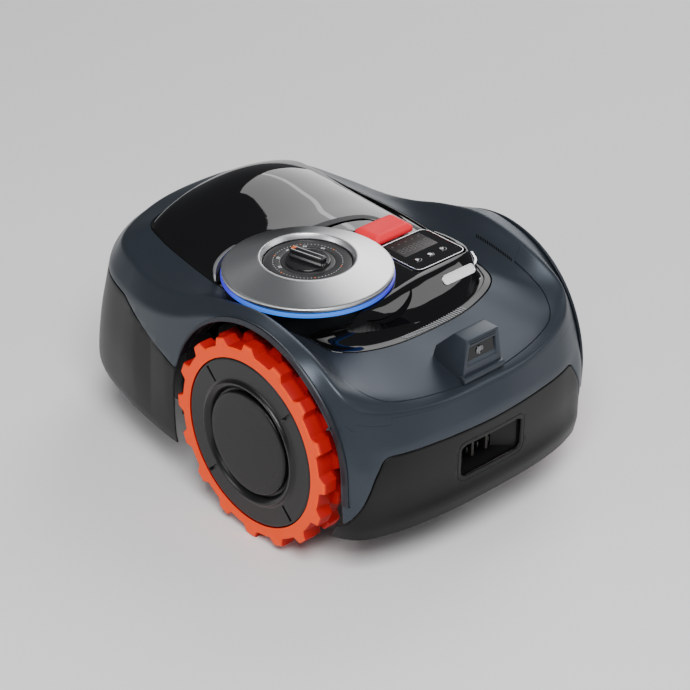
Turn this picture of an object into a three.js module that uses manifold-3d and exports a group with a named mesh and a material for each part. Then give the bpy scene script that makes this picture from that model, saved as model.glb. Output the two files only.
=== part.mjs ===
// Robotic lawn mower: a low, domed machine on two large lugged drive wheels and two small casters.
// Millimetres, +Z up, origin on the ground under the middle of the machine.
// The end with the camera and the charging port faces -Y.

import * as THREE from 'three';
import { mergeVertices } from 'three/addons/utils/BufferGeometryUtils.js';
import Module from 'manifold-3d';

const wasm = await Module();
wasm.setup();

// ---------------------------------------------------------------- driving dimensions

const GAP = 0.4; // clearance between two pieces that rest on each other
const SEAM = 0.8; // visible joint line between two casings
const WALL = 3; // thickness of every moulded casing
const AROUND = 44; // points round each closed outline

const LUG = { r: 114, count: 16, land: 0.36 }; // land: share of a lug's pitch that is its flat tip
const LUG_TIP = LUG.r * Math.cos((Math.PI * LUG.land) / LUG.count); // axle to the flat under a lug
const WHEEL = { x: 187, y: -104, z: LUG_TIP, treadR: 105.5, rimR: 92.5, width: 37.5 };
const HUB = { recessR: 67.5, capR: 57, proud: 3.5 };
const AXLE_R = 6;
const ARCH = { y: -101, z: 115, r: 124, inner: 160 }; // wheel opening in the side of the casings
const LINER = { r: 127, inner: 137, outer: 168, frontOuter: 156, wall: 2.5, rearFoot: 80, frontFoot: 66 };

const TUB = { half: 134, front: -222, rear: 216, floor: 60, step: 128, rearFloor: 76, rim: 140 };
const BAY = { y: 40, r: 97, top: 84 }; // round well that the cutting deck rises into
const CASTER = { x: 95, y: 182, trail: 15, r: 32, width: 22, crown: 67, stemR: 8 };

const DISC = { x: -62, y: -55, r: 89, z: 246.6 }; // round metal plate round the height knob
const KNOB = { baseR: 24, foot: 258.5, length: 46, thick: 10, top: 268 };
const STOP = { x: 57.5, y: -42.5, w: 55, d: 37, z: 243, top: 252, travel: 4 };
const PANEL = { x: 59, y: -97, w: 76, d: 70, top: 244.5, corner: 11, toe: -161, toeZ: 211 };
const KEYS = { r: 4.6, pitch: 18, forward: 14, height: 8 };
const SCREEN = { half: 24, front: -2, back: 29, below: 2.2, thick: 1.4 };
const PORT = { half: 43, low: 87, high: 123, depth: 26 };
const DECK = { z: 76, r: 88, plate: 4 }; // cutting deck at a 40 mm cutting height
const ROTOR = { r: 70, z: 44, plate: 2.5, pivotR: 60, bladeZ: 39.6, bladeLength: 37 };

const COLOURS = {
  slate: 0x3c4652,
  black: 0x161718,
  gloss: 0x0b0b0c,
  orange: 0xff5a22,
  red: 0xff4658,
  steel: 0xc4c6c8,
  brass: 0xb88a3c,
  blue: 0x3a6cff,
  glass: 0x101214,
  silver: 0xd8dadc,
  green: 0x1f6b3a,
  rubber: 0x242424,
};

// Closed outlines of the casing, from the glossy cover's edge down to the bottom edge. Each is half an
// outline, from the front centre round the -/+X side to the rear centre, with the same number of stations.
const COVER_EDGE = [
  [0, -174, 203], [45, -174, 205], [77, -168, 207], [100, -160, 210], [114, -148, 212], [119, -130, 215],
  [121, -105, 218], [125, -45, 223], [127, 15, 226], [121, 78, 229], [116, 118, 233], [106, 148, 237],
  [60, 162, 240], [0, 168, 243],
];
const HOOD_RING = [
  [0, -250, 184], [50, -246, 185], [95, -237, 189], [122, -226, 196], [138, -200, 207], [141, -165, 219],
  [140, -105, 228], [142, -40, 230], [143, 18, 224], [138, 75, 221], [131, 119, 223], [116, 156, 231],
  [64, 173, 238], [0, 179, 241],
];
const CREST = [
  [0, -256, 180], [62, -254, 181], [127, -237, 187], [150, -223, 195], [159, -206, 212], [156, -163, 235],
  [155, -95, 249], [156, -32, 240], [158, 18, 225], [160, 62, 215], [151, 118, 216], [129, 168, 222],
  [72, 186, 234], [0, 192, 237],
];
const SHOULDER = [
  [0, -266, 151], [65, -262, 150], [122, -251, 149], [163, -228, 157], [175, -203, 186], [176, -160, 229],
  [175, -97, 246], [176, -35, 230], [177, 18, 206], [175, 65, 193], [164, 121, 188], [142, 176, 192],
  [84, 219, 199], [0, 235, 203],
];
const WAIST = [
  [0, -266, 120], [68, -263, 120], [122, -255, 120], [163, -240, 120], [178, -212, 120], [179, -165, 130],
  [178, -100, 135], [179, -38, 132], [181, 18, 124], [180, 65, 120], [172, 124, 122], [149, 186, 124],
  [86, 244, 126], [0, 260, 127],
];
const FLARE = [
  [0, -265, 84], [68, -262, 84], [122, -253, 84], [160, -239, 84], [175, -212, 84], [178, -165, 84],
  [178, -100, 84], [179, -38, 84], [181, 18, 84], [180, 65, 84], [172, 125, 85], [150, 191, 86],
  [86, 250, 87], [0, 267, 88],
];
const LIP = [
  [0, -270, 68], [78, -266, 68], [128, -255, 66], [159, -240, 64], [173, -214, 62], [177, -165, 60],
  [178, -100, 60], [179, -38, 60], [180, 18, 60], [179, 65, 62], [171, 126, 66], [149, 193, 68],
  [86, 253, 70], [0, 270, 71],
];
const HEM = [
  [0, -268, 55], [78, -264, 54], [127, -253, 52], [157, -238, 50], [170, -213, 48], [174, -165, 48],
  [175, -100, 48], [176, -38, 48], [178, 18, 49], [177, 65, 53], [169, 125, 58], [147, 191, 61],
  [85, 250, 64], [0, 267, 65],
];

// Height of the glossy cover along its centre line, as (y, z).
const CROWN = [
  [-174, 203], [-160, 216], [-145, 226], [-133, 231], [-100, 236], [-64, 240], [-20, 248], [0, 252],
  [34, 257], [66, 267], [90, 274], [112, 278], [132, 274], [150, 263], [162, 251], [168, 243],
];

// ---------------------------------------------------------------- general helpers

function toSolid(geometry) {
  const bare = geometry.clone();
  bare.deleteAttribute('normal');
  bare.deleteAttribute('uv');
  const merged = mergeVertices(bare, 1e-4);
  const vertProperties = new Float32Array(merged.attributes.position.array);
  const triVerts = new Uint32Array(merged.index.array);
  return new wasm.Manifold(new wasm.Mesh({ numProp: 3, vertProperties, triVerts }));
}

function toGeometry(solid) {
  const mesh = solid.getMesh();
  const geometry = new THREE.BufferGeometry();
  geometry.setAttribute('position', new THREE.BufferAttribute(new Float32Array(mesh.vertProperties), 3));
  geometry.setIndex(new THREE.BufferAttribute(new Uint32Array(mesh.triVerts), 1));
  geometry.computeVertexNormals();
  return geometry;
}

function join(...solids) {
  return solids.reduce((whole, next) => whole.add(next));
}

function cut(solid, ...tools) {
  return tools.reduce((rest, tool) => rest.subtract(tool), solid);
}

// A box from its low corner to its high corner.
function block([x0, y0, z0], [x1, y1, z1]) {
  const geometry = new THREE.BoxGeometry(x1 - x0, y1 - y0, z1 - z0);
  geometry.translate((x0 + x1) / 2, (y0 + y1) / 2, (z0 + z1) / 2);
  return toSolid(geometry);
}

// A solid of revolution about a vertical axis through (x, y), from a closed profile of [radius, z].
function turned(profile, segments = 32, x = 0, y = 0) {
  const points = profile.map(([r, z]) => new THREE.Vector2(r, z));
  const onAxis = profile[0][0] === 0 && profile[profile.length - 1][0] === 0;
  if (!onAxis) points.push(points[0].clone());
  const geometry = new THREE.LatheGeometry(points, segments);
  geometry.rotateX(Math.PI / 2);
  geometry.translate(x, y, 0);
  const solid = toSolid(geometry);
  return solid.volume() < 0 ? turned([...profile].reverse(), segments, x, y) : solid;
}

// A solid of revolution about the X axis through (y, z), from a closed profile of [radius, x].
function turnedX(profile, segments, y, z) {
  const geometry = toGeometry(turned(profile, segments));
  geometry.rotateY(Math.PI / 2);
  geometry.translate(0, y, z);
  return toSolid(geometry);
}

function rod(x, y, r, z0, z1, segments = 14) {
  return turned([[0, z0], [r, z0], [r, z1], [0, z1]], segments, x, y);
}

function rodX(y, z, r, x0, x1, segments = 16) {
  return turnedX([[0, x0], [r, x0], [r, x1], [0, x1]], segments, y, z);
}

function roundedShape(w, d, corner) {
  const shape = new THREE.Shape();
  const [hw, hd] = [w / 2, d / 2];
  shape.absarc(hw - corner, hd - corner, corner, 0, Math.PI / 2);
  shape.absarc(-hw + corner, hd - corner, corner, Math.PI / 2, Math.PI);
  shape.absarc(-hw + corner, -hd + corner, corner, Math.PI, Math.PI * 1.5);
  shape.absarc(hw - corner, -hd + corner, corner, Math.PI * 1.5, Math.PI * 2);
  return shape;
}

// A vertical prism of a shape, moved to (x, y).
function prism(shape, z0, z1, x = 0, y = 0) {
  const settings = { depth: z1 - z0, bevelEnabled: false, curveSegments: 4 };
  const geometry = new THREE.ExtrudeGeometry(shape, settings);
  geometry.translate(x, y, z0);
  return toSolid(geometry);
}

function roundedBlock(x, y, w, d, corner, z0, z1) {
  return prism(roundedShape(w, d, corner), z0, z1, x, y);
}

// A prism of an outline of [x, z] points, running along Y.
function prismY(points, y0, y1) {
  const shape = new THREE.Shape(points.map(([x, z]) => new THREE.Vector2(x, z)));
  const geometry = new THREE.ExtrudeGeometry(shape, { depth: y1 - y0, bevelEnabled: false });
  geometry.rotateX(Math.PI / 2);
  geometry.translate(0, y1, 0);
  return toSolid(geometry);
}

// A prism of an outline of [y, z] points, running along X.
function prismX(points, x0, x1) {
  const shape = new THREE.Shape(points.map(([y, z]) => new THREE.Vector2(y, z)));
  const geometry = new THREE.ExtrudeGeometry(shape, { depth: x1 - x0, bevelEnabled: false });
  geometry.rotateX(Math.PI / 2);
  geometry.rotateZ(Math.PI / 2);
  geometry.translate(x0, 0, 0);
  return toSolid(geometry);
}

// ---------------------------------------------------------------- lofted casings

// A closed ring of points through half an outline and its mirror image.
function ring(half) {
  const right = half.map(([x, y, z]) => new THREE.Vector3(x, y, z));
  const left = half.slice(1, -1).reverse().map(([x, y, z]) => new THREE.Vector3(-x, y, z));
  const curve = new THREE.CatmullRomCurve3([...right, ...left], true);
  return Array.from({ length: AROUND }, (_, i) => curve.getPoint(i / AROUND));
}

// The ring moved inwards, square to its plan outline, and downwards.
function inset(points, inwards, down) {
  return points.map((point, i) => {
    const before = points[(i + AROUND - 1) % AROUND];
    const after = points[(i + 1) % AROUND];
    const along = new THREE.Vector2(after.x - before.x, after.y - before.y).normalize();
    return new THREE.Vector3(point.x - along.y * inwards, point.y + along.x * inwards, point.z - down);
  });
}

function flatRing(points, z) {
  return points.map((point) => new THREE.Vector3(point.x, point.y, z));
}

// A closed solid through a stack of rings, each with AROUND points, capped at both ends.
function loft(rings) {
  const centres = [rings[0], rings[rings.length - 1]].map((points) => {
    const middle = points.reduce((sum, point) => sum.add(point), new THREE.Vector3());
    return middle.multiplyScalar(1 / points.length);
  });
  const vertices = [...rings.flat(), ...centres].flatMap((point) => [point.x, point.y, point.z]);
  const [topCentre, bottomCentre] = [rings.length * AROUND, rings.length * AROUND + 1];
  const faces = [];
  for (let i = 0; i < AROUND; i += 1) {
    const next = (i + 1) % AROUND;
    for (let k = 0; k + 1 < rings.length; k += 1) {
      const [a, b] = [k * AROUND + i, k * AROUND + next];
      faces.push(a, a + AROUND, b, b, a + AROUND, b + AROUND);
    }
    const last = (rings.length - 1) * AROUND;
    faces.push(topCentre, i, next, bottomCentre, last + next, last + i);
  }
  const geometry = new THREE.BufferGeometry();
  geometry.setAttribute('position', new THREE.Float32BufferAttribute(vertices, 3));
  geometry.setIndex(faces);
  return toSolid(geometry);
}

const coverEdge = ring(COVER_EDGE);
const casingRings = [COVER_EDGE, HOOD_RING, CREST, SHOULDER, WAIST, FLARE, LIP, HEM].map(ring);

// The casing's rings moved inwards and downwards. Those of the top only move down, and those of the
// side walls only inwards, so that a slope that faces the middle keeps its distance too.
function offsetRings(inwards, down) {
  return casingRings.map((points, i) => inset(points, i < 3 ? 0 : inwards, i < 4 ? down : 0));
}

// The whole casing as one solid block, grown outwards by `grow`.
function casingBlock(grow) {
  return loft(offsetRings(-grow, -grow * 1.5));
}

// The space inside the casing's wall, open at the bottom.
function casingSpace() {
  return loft([...offsetRings(WALL, WALL * 1.4), inset(casingRings.at(-1), WALL, WALL * 10)]);
}

// Height of the glossy cover's top face over the plan point (x, y).
function coverHeight(x, y) {
  const next = CROWN.findIndex(([at]) => at >= y);
  const [y0, z0] = CROWN[Math.max(next - 1, 0)];
  const [y1, z1] = CROWN[next < 0 ? CROWN.length - 1 : Math.max(next, 1)];
  const crown = z0 + (z1 - z0) * THREE.MathUtils.clamp((y - y0) / (y1 - y0), 0, 1);
  const side = coverEdge.slice(0, AROUND / 2 + 1);
  const after = side.findIndex((point) => point.y >= y && point.x > 1);
  const edge = side[after < 0 ? side.length - 1 : after];
  const reach = Math.min(Math.abs(x) / Math.max(edge.x, 1), 1);
  return crown - (crown - Math.min(edge.z, crown)) * reach ** 1.7;
}

// Rings of the cover's top face from near its middle out to its edge.
function coverRings(raise) {
  const middle = new THREE.Vector2(0, 10);
  const shares = [0.12, 0.4, 0.62, 0.8, 0.92];
  const inner = shares.map((share) => coverEdge.map((point) => {
    const x = middle.x + (point.x - middle.x) * share;
    const y = middle.y + (point.y - middle.y) * share;
    const low = point.z + (coverHeight(x, y) - point.z) * Math.min(1, (1 - share) * 9);
    return new THREE.Vector3(x, y, low + raise);
  }));
  return [...inner, inset(coverEdge, 0, -raise)];
}

// Everything under the cover's top face, raised by `raise`.
function underCover(raise) {
  return loft([...coverRings(raise), flatRing(coverEdge, 150)]);
}

// Everything above the cover's underside, lowered by `drop`.
function overCover(drop) {
  const rings = coverRings(-WALL - drop);
  return loft([flatRing(rings[0], 320), flatRing(rings.at(-1), 320), ...rings.reverse()]);
}

// ---------------------------------------------------------------- outlines that split the casing

// The bumper's outline seen from the front, grown by `grow`.
function bumperOutline(grow) {
  const side = [[133, 142], [146, 121], [156, 92], [170, 66 + grow], [210, 62 + grow], [210, 20]];
  const right = side.map(([x, z], i) => [x + grow, i === 0 ? z + grow : z]);
  const left = right.map(([x, z]) => [-x, z]).reverse();
  return [[0, 140 + grow], ...right, ...left];
}

// The rear skirt's outline seen from the side, grown by `grow`.
function skirtOutline(grow) {
  return [[10, 20], [10, 138 + grow], [79, 165 + grow], [120, 182 + grow], [300, 190 + grow], [300, 20]];
}

function wheelOpenings() {
  const { y, z, r, inner } = ARCH;
  const left = join(rodX(y, z, r, inner, 220, 64), block([inner, y - r, 0], [220, y + r, z]));
  return join(left, mirrored(left, -1));
}

// ---------------------------------------------------------------- casings

const skin = cut(casingBlock(0), casingSpace());

function outerShell() {
  const opening = loft([flatRing(inset(coverEdge, 0.5, 0), 320), flatRing(inset(coverEdge, 0.5, 0), 150)]);
  const bumper = prismY(bumperOutline(SEAM), -300, -190);
  const skirt = prismX(skirtOutline(SEAM), -220, 220);
  const discClearance = rod(DISC.x, DISC.y, DISC.r + 2.4, 241, 300, 36);
  return cut(skin, opening, bumper, skirt, wheelOpenings(), discClearance);
}

function deckCover() {
  const edge = inset(coverEdge, 1.3, 0);
  const slab = overCover(0).intersect(underCover(0));
  const outline = loft([flatRing(edge, 320), flatRing(edge, 150)]);
  const dialSeat = rod(DISC.x, DISC.y, DISC.r + 1.6, 241, 300, 36);
  const spindleHole = rod(DISC.x, DISC.y, 9, 150, 300);
  const stopHole = roundedBlock(STOP.x, STOP.y, STOP.w + 2, STOP.d + 2, 5, 150, 300);
  const panelHole = roundedBlock(PANEL.x, PANEL.y, PANEL.w - 8, PANEL.d - 14, 6, 150, 300);
  const fixed = rod(DISC.x, DISC.y, DISC.r + 3, 235, 240.6, 36).intersect(underCover(0));
  return cut(join(cut(slab, dialSeat), fixed).intersect(outline), spindleHole, stopHole, panelHole);
}

function frontBumper() {
  const panel = skin.intersect(prismY(bumperOutline(0), -300, -190));
  const wheelClear = rodX(WHEEL.y, WHEEL.z, LUG.r + 10, -220, 220, 48);
  const mouth = block([-PORT.half, -300, PORT.low], [PORT.half, -200, PORT.high]);
  return cut(panel, wheelClear, mouth);
}

function rearSkirt() {
  return cut(skin.intersect(prismX(skirtOutline(0), -220, 220)), wheelOpenings());
}

function archLiner(side) {
  const { y, z } = ARCH;
  const { r, wall, inner, outer } = LINER;
  const u = (radius, foot) => {
    const arc = Array.from({ length: 17 }, (_, i) => {
      const angle = (Math.PI * i) / 16;
      return [y + radius * Math.cos(angle), z + radius * Math.sin(angle)];
    });
    return [[y + radius, LINER.rearFoot - foot], ...arc, [y - radius, LINER.frontFoot - foot]];
  };
  const [x0, x1] = side > 0 ? [inner, outer] : [-outer, -inner];
  const trough = cut(prismX(u(r, 0), x0, x1), prismX(u(r - wall, 30), x0 - 1, x1 + 1));
  const bumperPath = mirrored(block([LINER.frontOuter, -260, 0], [220, -200, 150]), side);
  const within = loft(offsetRings(WALL + GAP, WALL * 1.4 + 2 * GAP));
  return cut(trough, bumperPath).intersect(within);
}

// ---------------------------------------------------------------- camera and top controls

function cameraHousing() {
  const foot = new THREE.Shape([[29, -247.5], [31, -196], [-31, -196], [-29, -247.5]].map(
    ([x, y]) => new THREE.Vector2(x, y)));
  const front = prismY([[-29, 170], [29, 170], [20, 231], [-20, 231]], -247.5, -190);
  const brow = prismX([[-247.5, 170], [-246, 231], [-224, 235], [-196, 208], [-190, 170]], -40, 40);
  const windowRecess = prismY([[-18, 199], [18, 199], [15, 222], [-15, 222]], -260, -241);
  return cut(prism(foot, 170, 240).intersect(front).intersect(brow), casingBlock(GAP), windowRecess);
}

function cameraWindow() {
  const plate = prismY([[-17.5, 199.5], [17.5, 199.5], [14.6, 221.5], [-14.6, 221.5]], -243.6, -241.4);
  return cut(plate, rodY(0, 211, 7.4, -250, -230));
}

function rodY(x, z, r, y0, y1) {
  const geometry = toGeometry(rod(0, 0, r, y0, y1, 28));
  geometry.rotateX(-Math.PI / 2);
  geometry.translate(x, 0, z);
  return toSolid(geometry);
}

function cameraLens() {
  return rodY(0, 211, 7, -245.6, -241.4);
}

function discPedestal() {
  const [low, seat, top, r] = [205, 241.4, 245, DISC.r - 3];
  const drum = turned([[12, seat], [r, seat], [r, top], [12, top]], 36, DISC.x, DISC.y);
  const foot = turned([[62, low], [r, low], [r, top], [62, top]], 36, DISC.x, DISC.y);
  return join(drum, cut(foot, underCover(GAP), casingBlock(GAP)));
}

function lightRing() {
  const [inner, outer] = [DISC.r - 1.6, DISC.r + 0.9];
  return turned([[inner, 241.8], [outer, 242.4], [outer, 245.6], [inner, 246.2]], 40, DISC.x, DISC.y);
}

function metalDisc() {
  const z = DISC.z;
  const profile = [[46.6, z], [DISC.r - 1, z], [DISC.r, z + 1], [DISC.r, z + 4.6], [DISC.r - 1.4, z + 5.6],
    [51.5, 263.8], [49.5, 263.8], [46.6, 259]];
  return turned(profile, 44, DISC.x, DISC.y);
}

function dialPlate() {
  return turned([[9, 246], [46, 246], [46, 258], [9, 258]], 40, DISC.x, DISC.y);
}

// A grip bar across a round base, lying along Y at the middle cutting height.
function heightKnob() {
  const { baseR, foot, length, thick, top } = KNOB;
  const base = rod(DISC.x, DISC.y, baseR, foot, foot + 3.5, 32);
  return join(base, roundedBlock(DISC.x, DISC.y, thick, length, 3, foot + 2.5, top));
}

function knobSpindle() {
  return join(rod(DISC.x, DISC.y, 5, 88, 258), rod(DISC.x, DISC.y, 8, 160, 168));
}

// Room for the round disc and all that is under it.
function discSpace(extra = 0) {
  return rod(DISC.x, DISC.y, DISC.r + 2.4 + extra, 200, 300, 36);
}

// A raised island: a flat top that carries the display, and a lobe that slopes to the front.
function controlPanel() {
  const { x, y, w, d, top, corner, toe, toeZ } = PANEL;
  const [rear, front] = [y + d / 2, y - d / 2];
  const profile = [[rear, 190], [rear, top], [front, top], [toe, toeZ], [toe, 190]];
  const island = prismX(profile, x - w / 2, x + w / 2);
  const well = roundedBlock(x, y, w - 4, d - 4, corner - 2, top - 4, 300);
  const pocket = roundedBlock(x, y, w - 10, d - 10, 6, 180, top - 7);
  const keyHoles = keyPlaces().map(([x, y]) => rod(x, y, KEYS.r + GAP, 190, 300));
  return cut(island, underCover(GAP), well, pocket, discSpace(), ...keyHoles);
}

function displayTrim() {
  const { x, y, top, corner } = PANEL;
  const [w, d] = [PANEL.w - 4.8, PANEL.d - 4.8];
  const outer = roundedBlock(x, y, w, d, corner - 2.4, top - 3.6, top + 0.3);
  const inner = roundedBlock(x, y, w - 3, d - 3, corner - 3.9, top - 8, top + 8);
  return cut(outer, inner, discSpace());
}

// Plan places of the three keys, in a row in front of the screen.
function keyPlaces() {
  return [-KEYS.pitch, 0, KEYS.pitch].map((dx) => [PANEL.x + dx, PANEL.y - KEYS.forward]);
}

function displayGlass() {
  const [w, d] = [PANEL.w - 8.6, PANEL.d - 8.6];
  const pane = roundedBlock(PANEL.x, PANEL.y, w, d, PANEL.corner - 4.3, PANEL.top - 1.8, PANEL.top);
  const keyHoles = keyPlaces().map(([x, y]) => rod(x, y, KEYS.r + GAP, 190, 300));
  return cut(pane, discSpace(), ...keyHoles);
}

function displayScreen() {
  const top = PANEL.top - SCREEN.below;
  const low = [PANEL.x - SCREEN.half, PANEL.y + SCREEN.front, top - SCREEN.thick];
  return block(low, [PANEL.x + SCREEN.half, PANEL.y + SCREEN.back, top]);
}

function key([x, y]) {
  return rod(x, y, KEYS.r, PANEL.top - KEYS.height, PANEL.top, 24);
}

function stopButton() {
  const cap = roundedBlock(STOP.x, STOP.y, STOP.w, STOP.d, 5, STOP.z, STOP.top);
  return join(cap, rod(STOP.x, STOP.y, 6, 226, STOP.z + 1));
}

function stopSwitch() {
  const [w, d] = [STOP.w + 14, STOP.d + 6];
  const body = roundedBlock(STOP.x, STOP.y, w, d, 5, 212, 240);
  const pressed = STOP.z - STOP.travel - 1.6;
  const clearOfButton = roundedBlock(STOP.x, STOP.y, STOP.w + 2, STOP.d + 2, 5, pressed, 300);
  const guide = rod(STOP.x, STOP.y, 6 + GAP, 220, 300);
  return cut(body, overCover(GAP), clearOfButton, guide, discSpace(2));
}

// A pill-shaped plate on the island's sloping lobe.
function badgePlate() {
  const front = PANEL.y - PANEL.d / 2;
  const slope = Math.atan2(PANEL.top - PANEL.toeZ, front - PANEL.toe);
  const flat = toGeometry(roundedBlock(0, 0, 48, 11, 5.4, GAP, GAP + 1));
  flat.rotateX(slope);
  flat.translate(PANEL.x + 6, (front + PANEL.toe) / 2, (PANEL.top + PANEL.toeZ) / 2);
  return toSolid(flat);
}

function antennaModule() {
  return cut(roundedBlock(0, 104, 84, 64, 8, 252, 300), overCover(GAP));
}

// ---------------------------------------------------------------- charging port

function chargeSocket() {
  const { half, low, high, depth } = PORT;
  const [front, back] = [-261, -261 + depth];
  const box = block([-half - 4, front, low - 4], [half + 4, back, high + 4]);
  const mouth = prismY([[-half, low], [half, low], [half, high], [-half, high]], -300, back - 14);
  const throat = block([-26, -300, low + 6], [14, back - 3, high - 5]);
  return cut(box, mouth, throat, casingBlockFront());
}

// The bumper's own wall, so that what is fixed behind it keeps clear of it.
function casingBlockFront() {
  return cut(casingBlock(0), loft(casingRings.map((points) => inset(points, WALL + GAP, 0))));
}

function chargeContact(x) {
  const back = -261 + PORT.depth - 3 - GAP;
  return block([x - 1.6, back - 15, 96], [x + 1.6, back, 113]);
}

// ---------------------------------------------------------------- chassis

function chassisTub() {
  const { half, front, rear, floor, step, rearFloor, rim } = TUB;
  const tray = (thinner, top) => join(
    roundedBlock(0, (front + step) / 2, (half - thinner) * 2, step - front - 2 * thinner, 24 - thinner,
      floor + thinner, top),
    roundedBlock(0, (step - 40 + rear) / 2, (half - thinner) * 2 - 20, rear - step + 40 - 2 * thinner,
      44 - thinner, rearFloor + thinner, top),
  );
  const bayWall = rod(0, BAY.y, BAY.r + WALL, floor, BAY.top, 36);
  const stems = [-1, 1].map((side) => rod(side * CASTER.x, CASTER.y, CASTER.stemR + 5, rearFloor, 104));
  const stemHoles = [-1, 1].map((side) => rod(side * CASTER.x, CASTER.y, CASTER.stemR + 0.3, 40, 99));
  const axleHoles = rodX(WHEEL.y, WHEEL.z, AXLE_R + 2.5, -200, 200);
  const bay = rod(0, BAY.y, BAY.r, 0, 300, 36);
  return cut(join(cut(tray(0, rim), tray(WALL, 300)), bayWall, ...stems), bay, ...stemHoles, axleHoles);
}

function driveMotor(side) {
  const { y, z } = WHEEL;
  const profile = [[0, 62], [24, 62], [26, 64], [26, 100], [35, 104], [35, 130.4], [0, 130.4]];
  return turnedX(profile.map(([r, x]) => [r, side * x]), 32, y, z);
}

function batteryPack() {
  return roundedBlock(0, 176, 118, 66, 6, TUB.rearFloor + WALL + GAP, 132);
}

function mainBoard() {
  const board = roundedBlock(0, -186, 170, 52, 3, 84, 86);
  const chips = [[-50, 14], [-8, 20], [44, 26]].map(([x, w]) => (
    block([x, -186 - w / 2, 85], [x + w, -186 + w / 2, 92])));
  const posts = [-76, 76].flatMap((x) => [-204, -168].map((y) => rod(x, y, 3.5, 63.4, 85, 12)));
  return join(board, ...chips, ...posts);
}

function guideRod(side) {
  return rod(side * 112, BAY.y, 5, TUB.floor + WALL + GAP, 178);
}

// ---------------------------------------------------------------- drive wheels

// One band of tread: a ring with its lugs, its outline closed round the axle.
function treadBand(x0, x1, phase) {
  const { treadR, rimR, y, z } = WHEEL;
  const pitch = (Math.PI * 2) / LUG.count;
  const [start, end] = [0.5 - LUG.land / 2, 0.5 + LUG.land / 2];
  const shape = new THREE.Shape();
  const corners = [[start - 0.1, treadR], [start, LUG.r], [end, LUG.r], [end + 0.1, treadR]];
  for (let i = 0; i < LUG.count; i += 1) {
    corners.forEach(([share, r], k) => {
      const angle = (i + share + phase) * pitch;
      const [u, v] = [r * Math.cos(angle), r * Math.sin(angle)];
      if (i === 0 && k === 0) shape.moveTo(u, v);
      else shape.lineTo(u, v);
    });
  }
  shape.closePath();
  const geometry = new THREE.ExtrudeGeometry(shape, { depth: x1 - x0, bevelEnabled: false });
  geometry.rotateX(Math.PI / 2);
  geometry.rotateZ(Math.PI / 2);
  geometry.translate(x0, y, z);
  return cut(toSolid(geometry), rodX(y, z, rimR + GAP, -220, 220, 40));
}

// The lowest lug of the outer band stands flat on the ground; the inner band is half a pitch on.
function tyre(side) {
  const { x, width } = WHEEL;
  const middle = x - width / 2;
  const outerBand = treadBand(middle, x, LUG.count * 0.75 - 0.5);
  const innerBand = treadBand(x - width, middle + 0.01, LUG.count * 0.75);
  return mirrored(join(outerBand, innerBand), side);
}

function mirrored(solid, side) {
  return side > 0 ? solid : solid.mirror([1, 0, 0]);
}

function rim(side) {
  const { x, width, rimR, y, z } = WHEEL;
  const back = x - width + 1;
  const profile = [[AXLE_R + GAP, back], [20, back], [20, 172], [82, 172], [86, back], [rimR, back],
    [rimR, x - 3], [rimR - 2, x - 1.6], [HUB.recessR + 3, x - 1.6], [HUB.recessR, x + HUB.proud],
    [HUB.recessR - 4, x + HUB.proud], [HUB.capR + 3, x - 3], [AXLE_R + GAP, x - 3]];
  return mirrored(turnedX(profile, 32, y, z), side);
}

function hubCap(side) {
  const { x, y, z } = WHEEL;
  const { capR } = HUB;
  const profile = [[0, x - 2.6], [capR, x - 2.6], [capR, x + 0.6], [capR - 2, x + 2.4], [0, x + 2.4]];
  return mirrored(turnedX(profile, 32, y, z), side);
}

function wheelAxle(side) {
  return mirrored(rodX(WHEEL.y, WHEEL.z, AXLE_R, 131, WHEEL.x - 3, 20), side);
}

// ---------------------------------------------------------------- casters

function casterFork(side) {
  const { x, y, trail, r, width, crown, stemR } = CASTER;
  const arm = (sign) => {
    const x0 = sign * (width / 2 + 1.5);
    const x1 = x0 + sign * 4;
    const outline = [[-12, crown + 3], [-12, crown - 6], [trail - 8, r - 8], [trail + 8, r - 8],
      [trail + 16, crown - 14], [16, crown + 3]];
    return prismX(outline.map(([dy, z]) => [y + dy, z]), Math.min(x0, x1), Math.max(x0, x1));
  };
  const top = block([-width / 2 - 5.5, y - 12, crown], [width / 2 + 5.5, y + 16, crown + 4]);
  const axleHole = rodX(y + trail, r, 4.4, -60, 60, 20);
  const frame = cut(join(top, arm(1), arm(-1), rod(0, y, stemR, crown + 2, 97)), axleHole);
  return frame.translate([side * x, 0, 0]);
}

function casterWheel(side) {
  const { x, y, trail, r, width } = CASTER;
  const half = width / 2;
  const profile = [[4.4, -half], [r - 5, -half], [r, -half + 5], [r, half - 5], [r - 5, half], [4.4, half]];
  return turnedX(profile, 24, y + trail, r).translate([side * x, 0, 0]);
}

function casterAxle(side) {
  const { x, y, trail, r, width } = CASTER;
  const half = width / 2 + 6.5;
  return rodX(y + trail, r, 4, -half, half, 20).translate([side * x, 0, 0]);
}

// ---------------------------------------------------------------- cutting deck

function deckCarriage() {
  const { z, r, plate } = DECK;
  const disc = rod(0, BAY.y, r, z, z + plate, 36);
  const can = turned([[28, z], [36, z], [36, z + 34], [28, z + 34]], 32, 0, BAY.y);
  const sleeves = [-1, 1].map((side) => rod(side * 112, BAY.y, 9, z + 30, z + 52));
  const arms = [-1, 1].map((side) => {
    const [a, b] = [side * 30, side * 112];
    return block([Math.min(a, b), BAY.y - 8, z + 30], [Math.max(a, b), BAY.y + 8, z + 38]);
  });
  const nut = rod(DISC.x, DISC.y, 11, z + 26, z + 46);
  const nutArm = block([DISC.x - 8, DISC.y, z + 30], [DISC.x + 8, BAY.y - 4, z + 38]);
  const rodHoles = [-1, 1].map((side) => rod(side * 112, BAY.y, 5.4, 0, 300));
  const screwHole = rod(DISC.x, DISC.y, 5.4, 0, 300);
  const motorHole = rod(0, BAY.y, 28, z - 1, 300, 32);
  return cut(join(disc, can, ...sleeves, ...arms, nut, nutArm), ...rodHoles, screwHole, motorHole);
}

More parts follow.
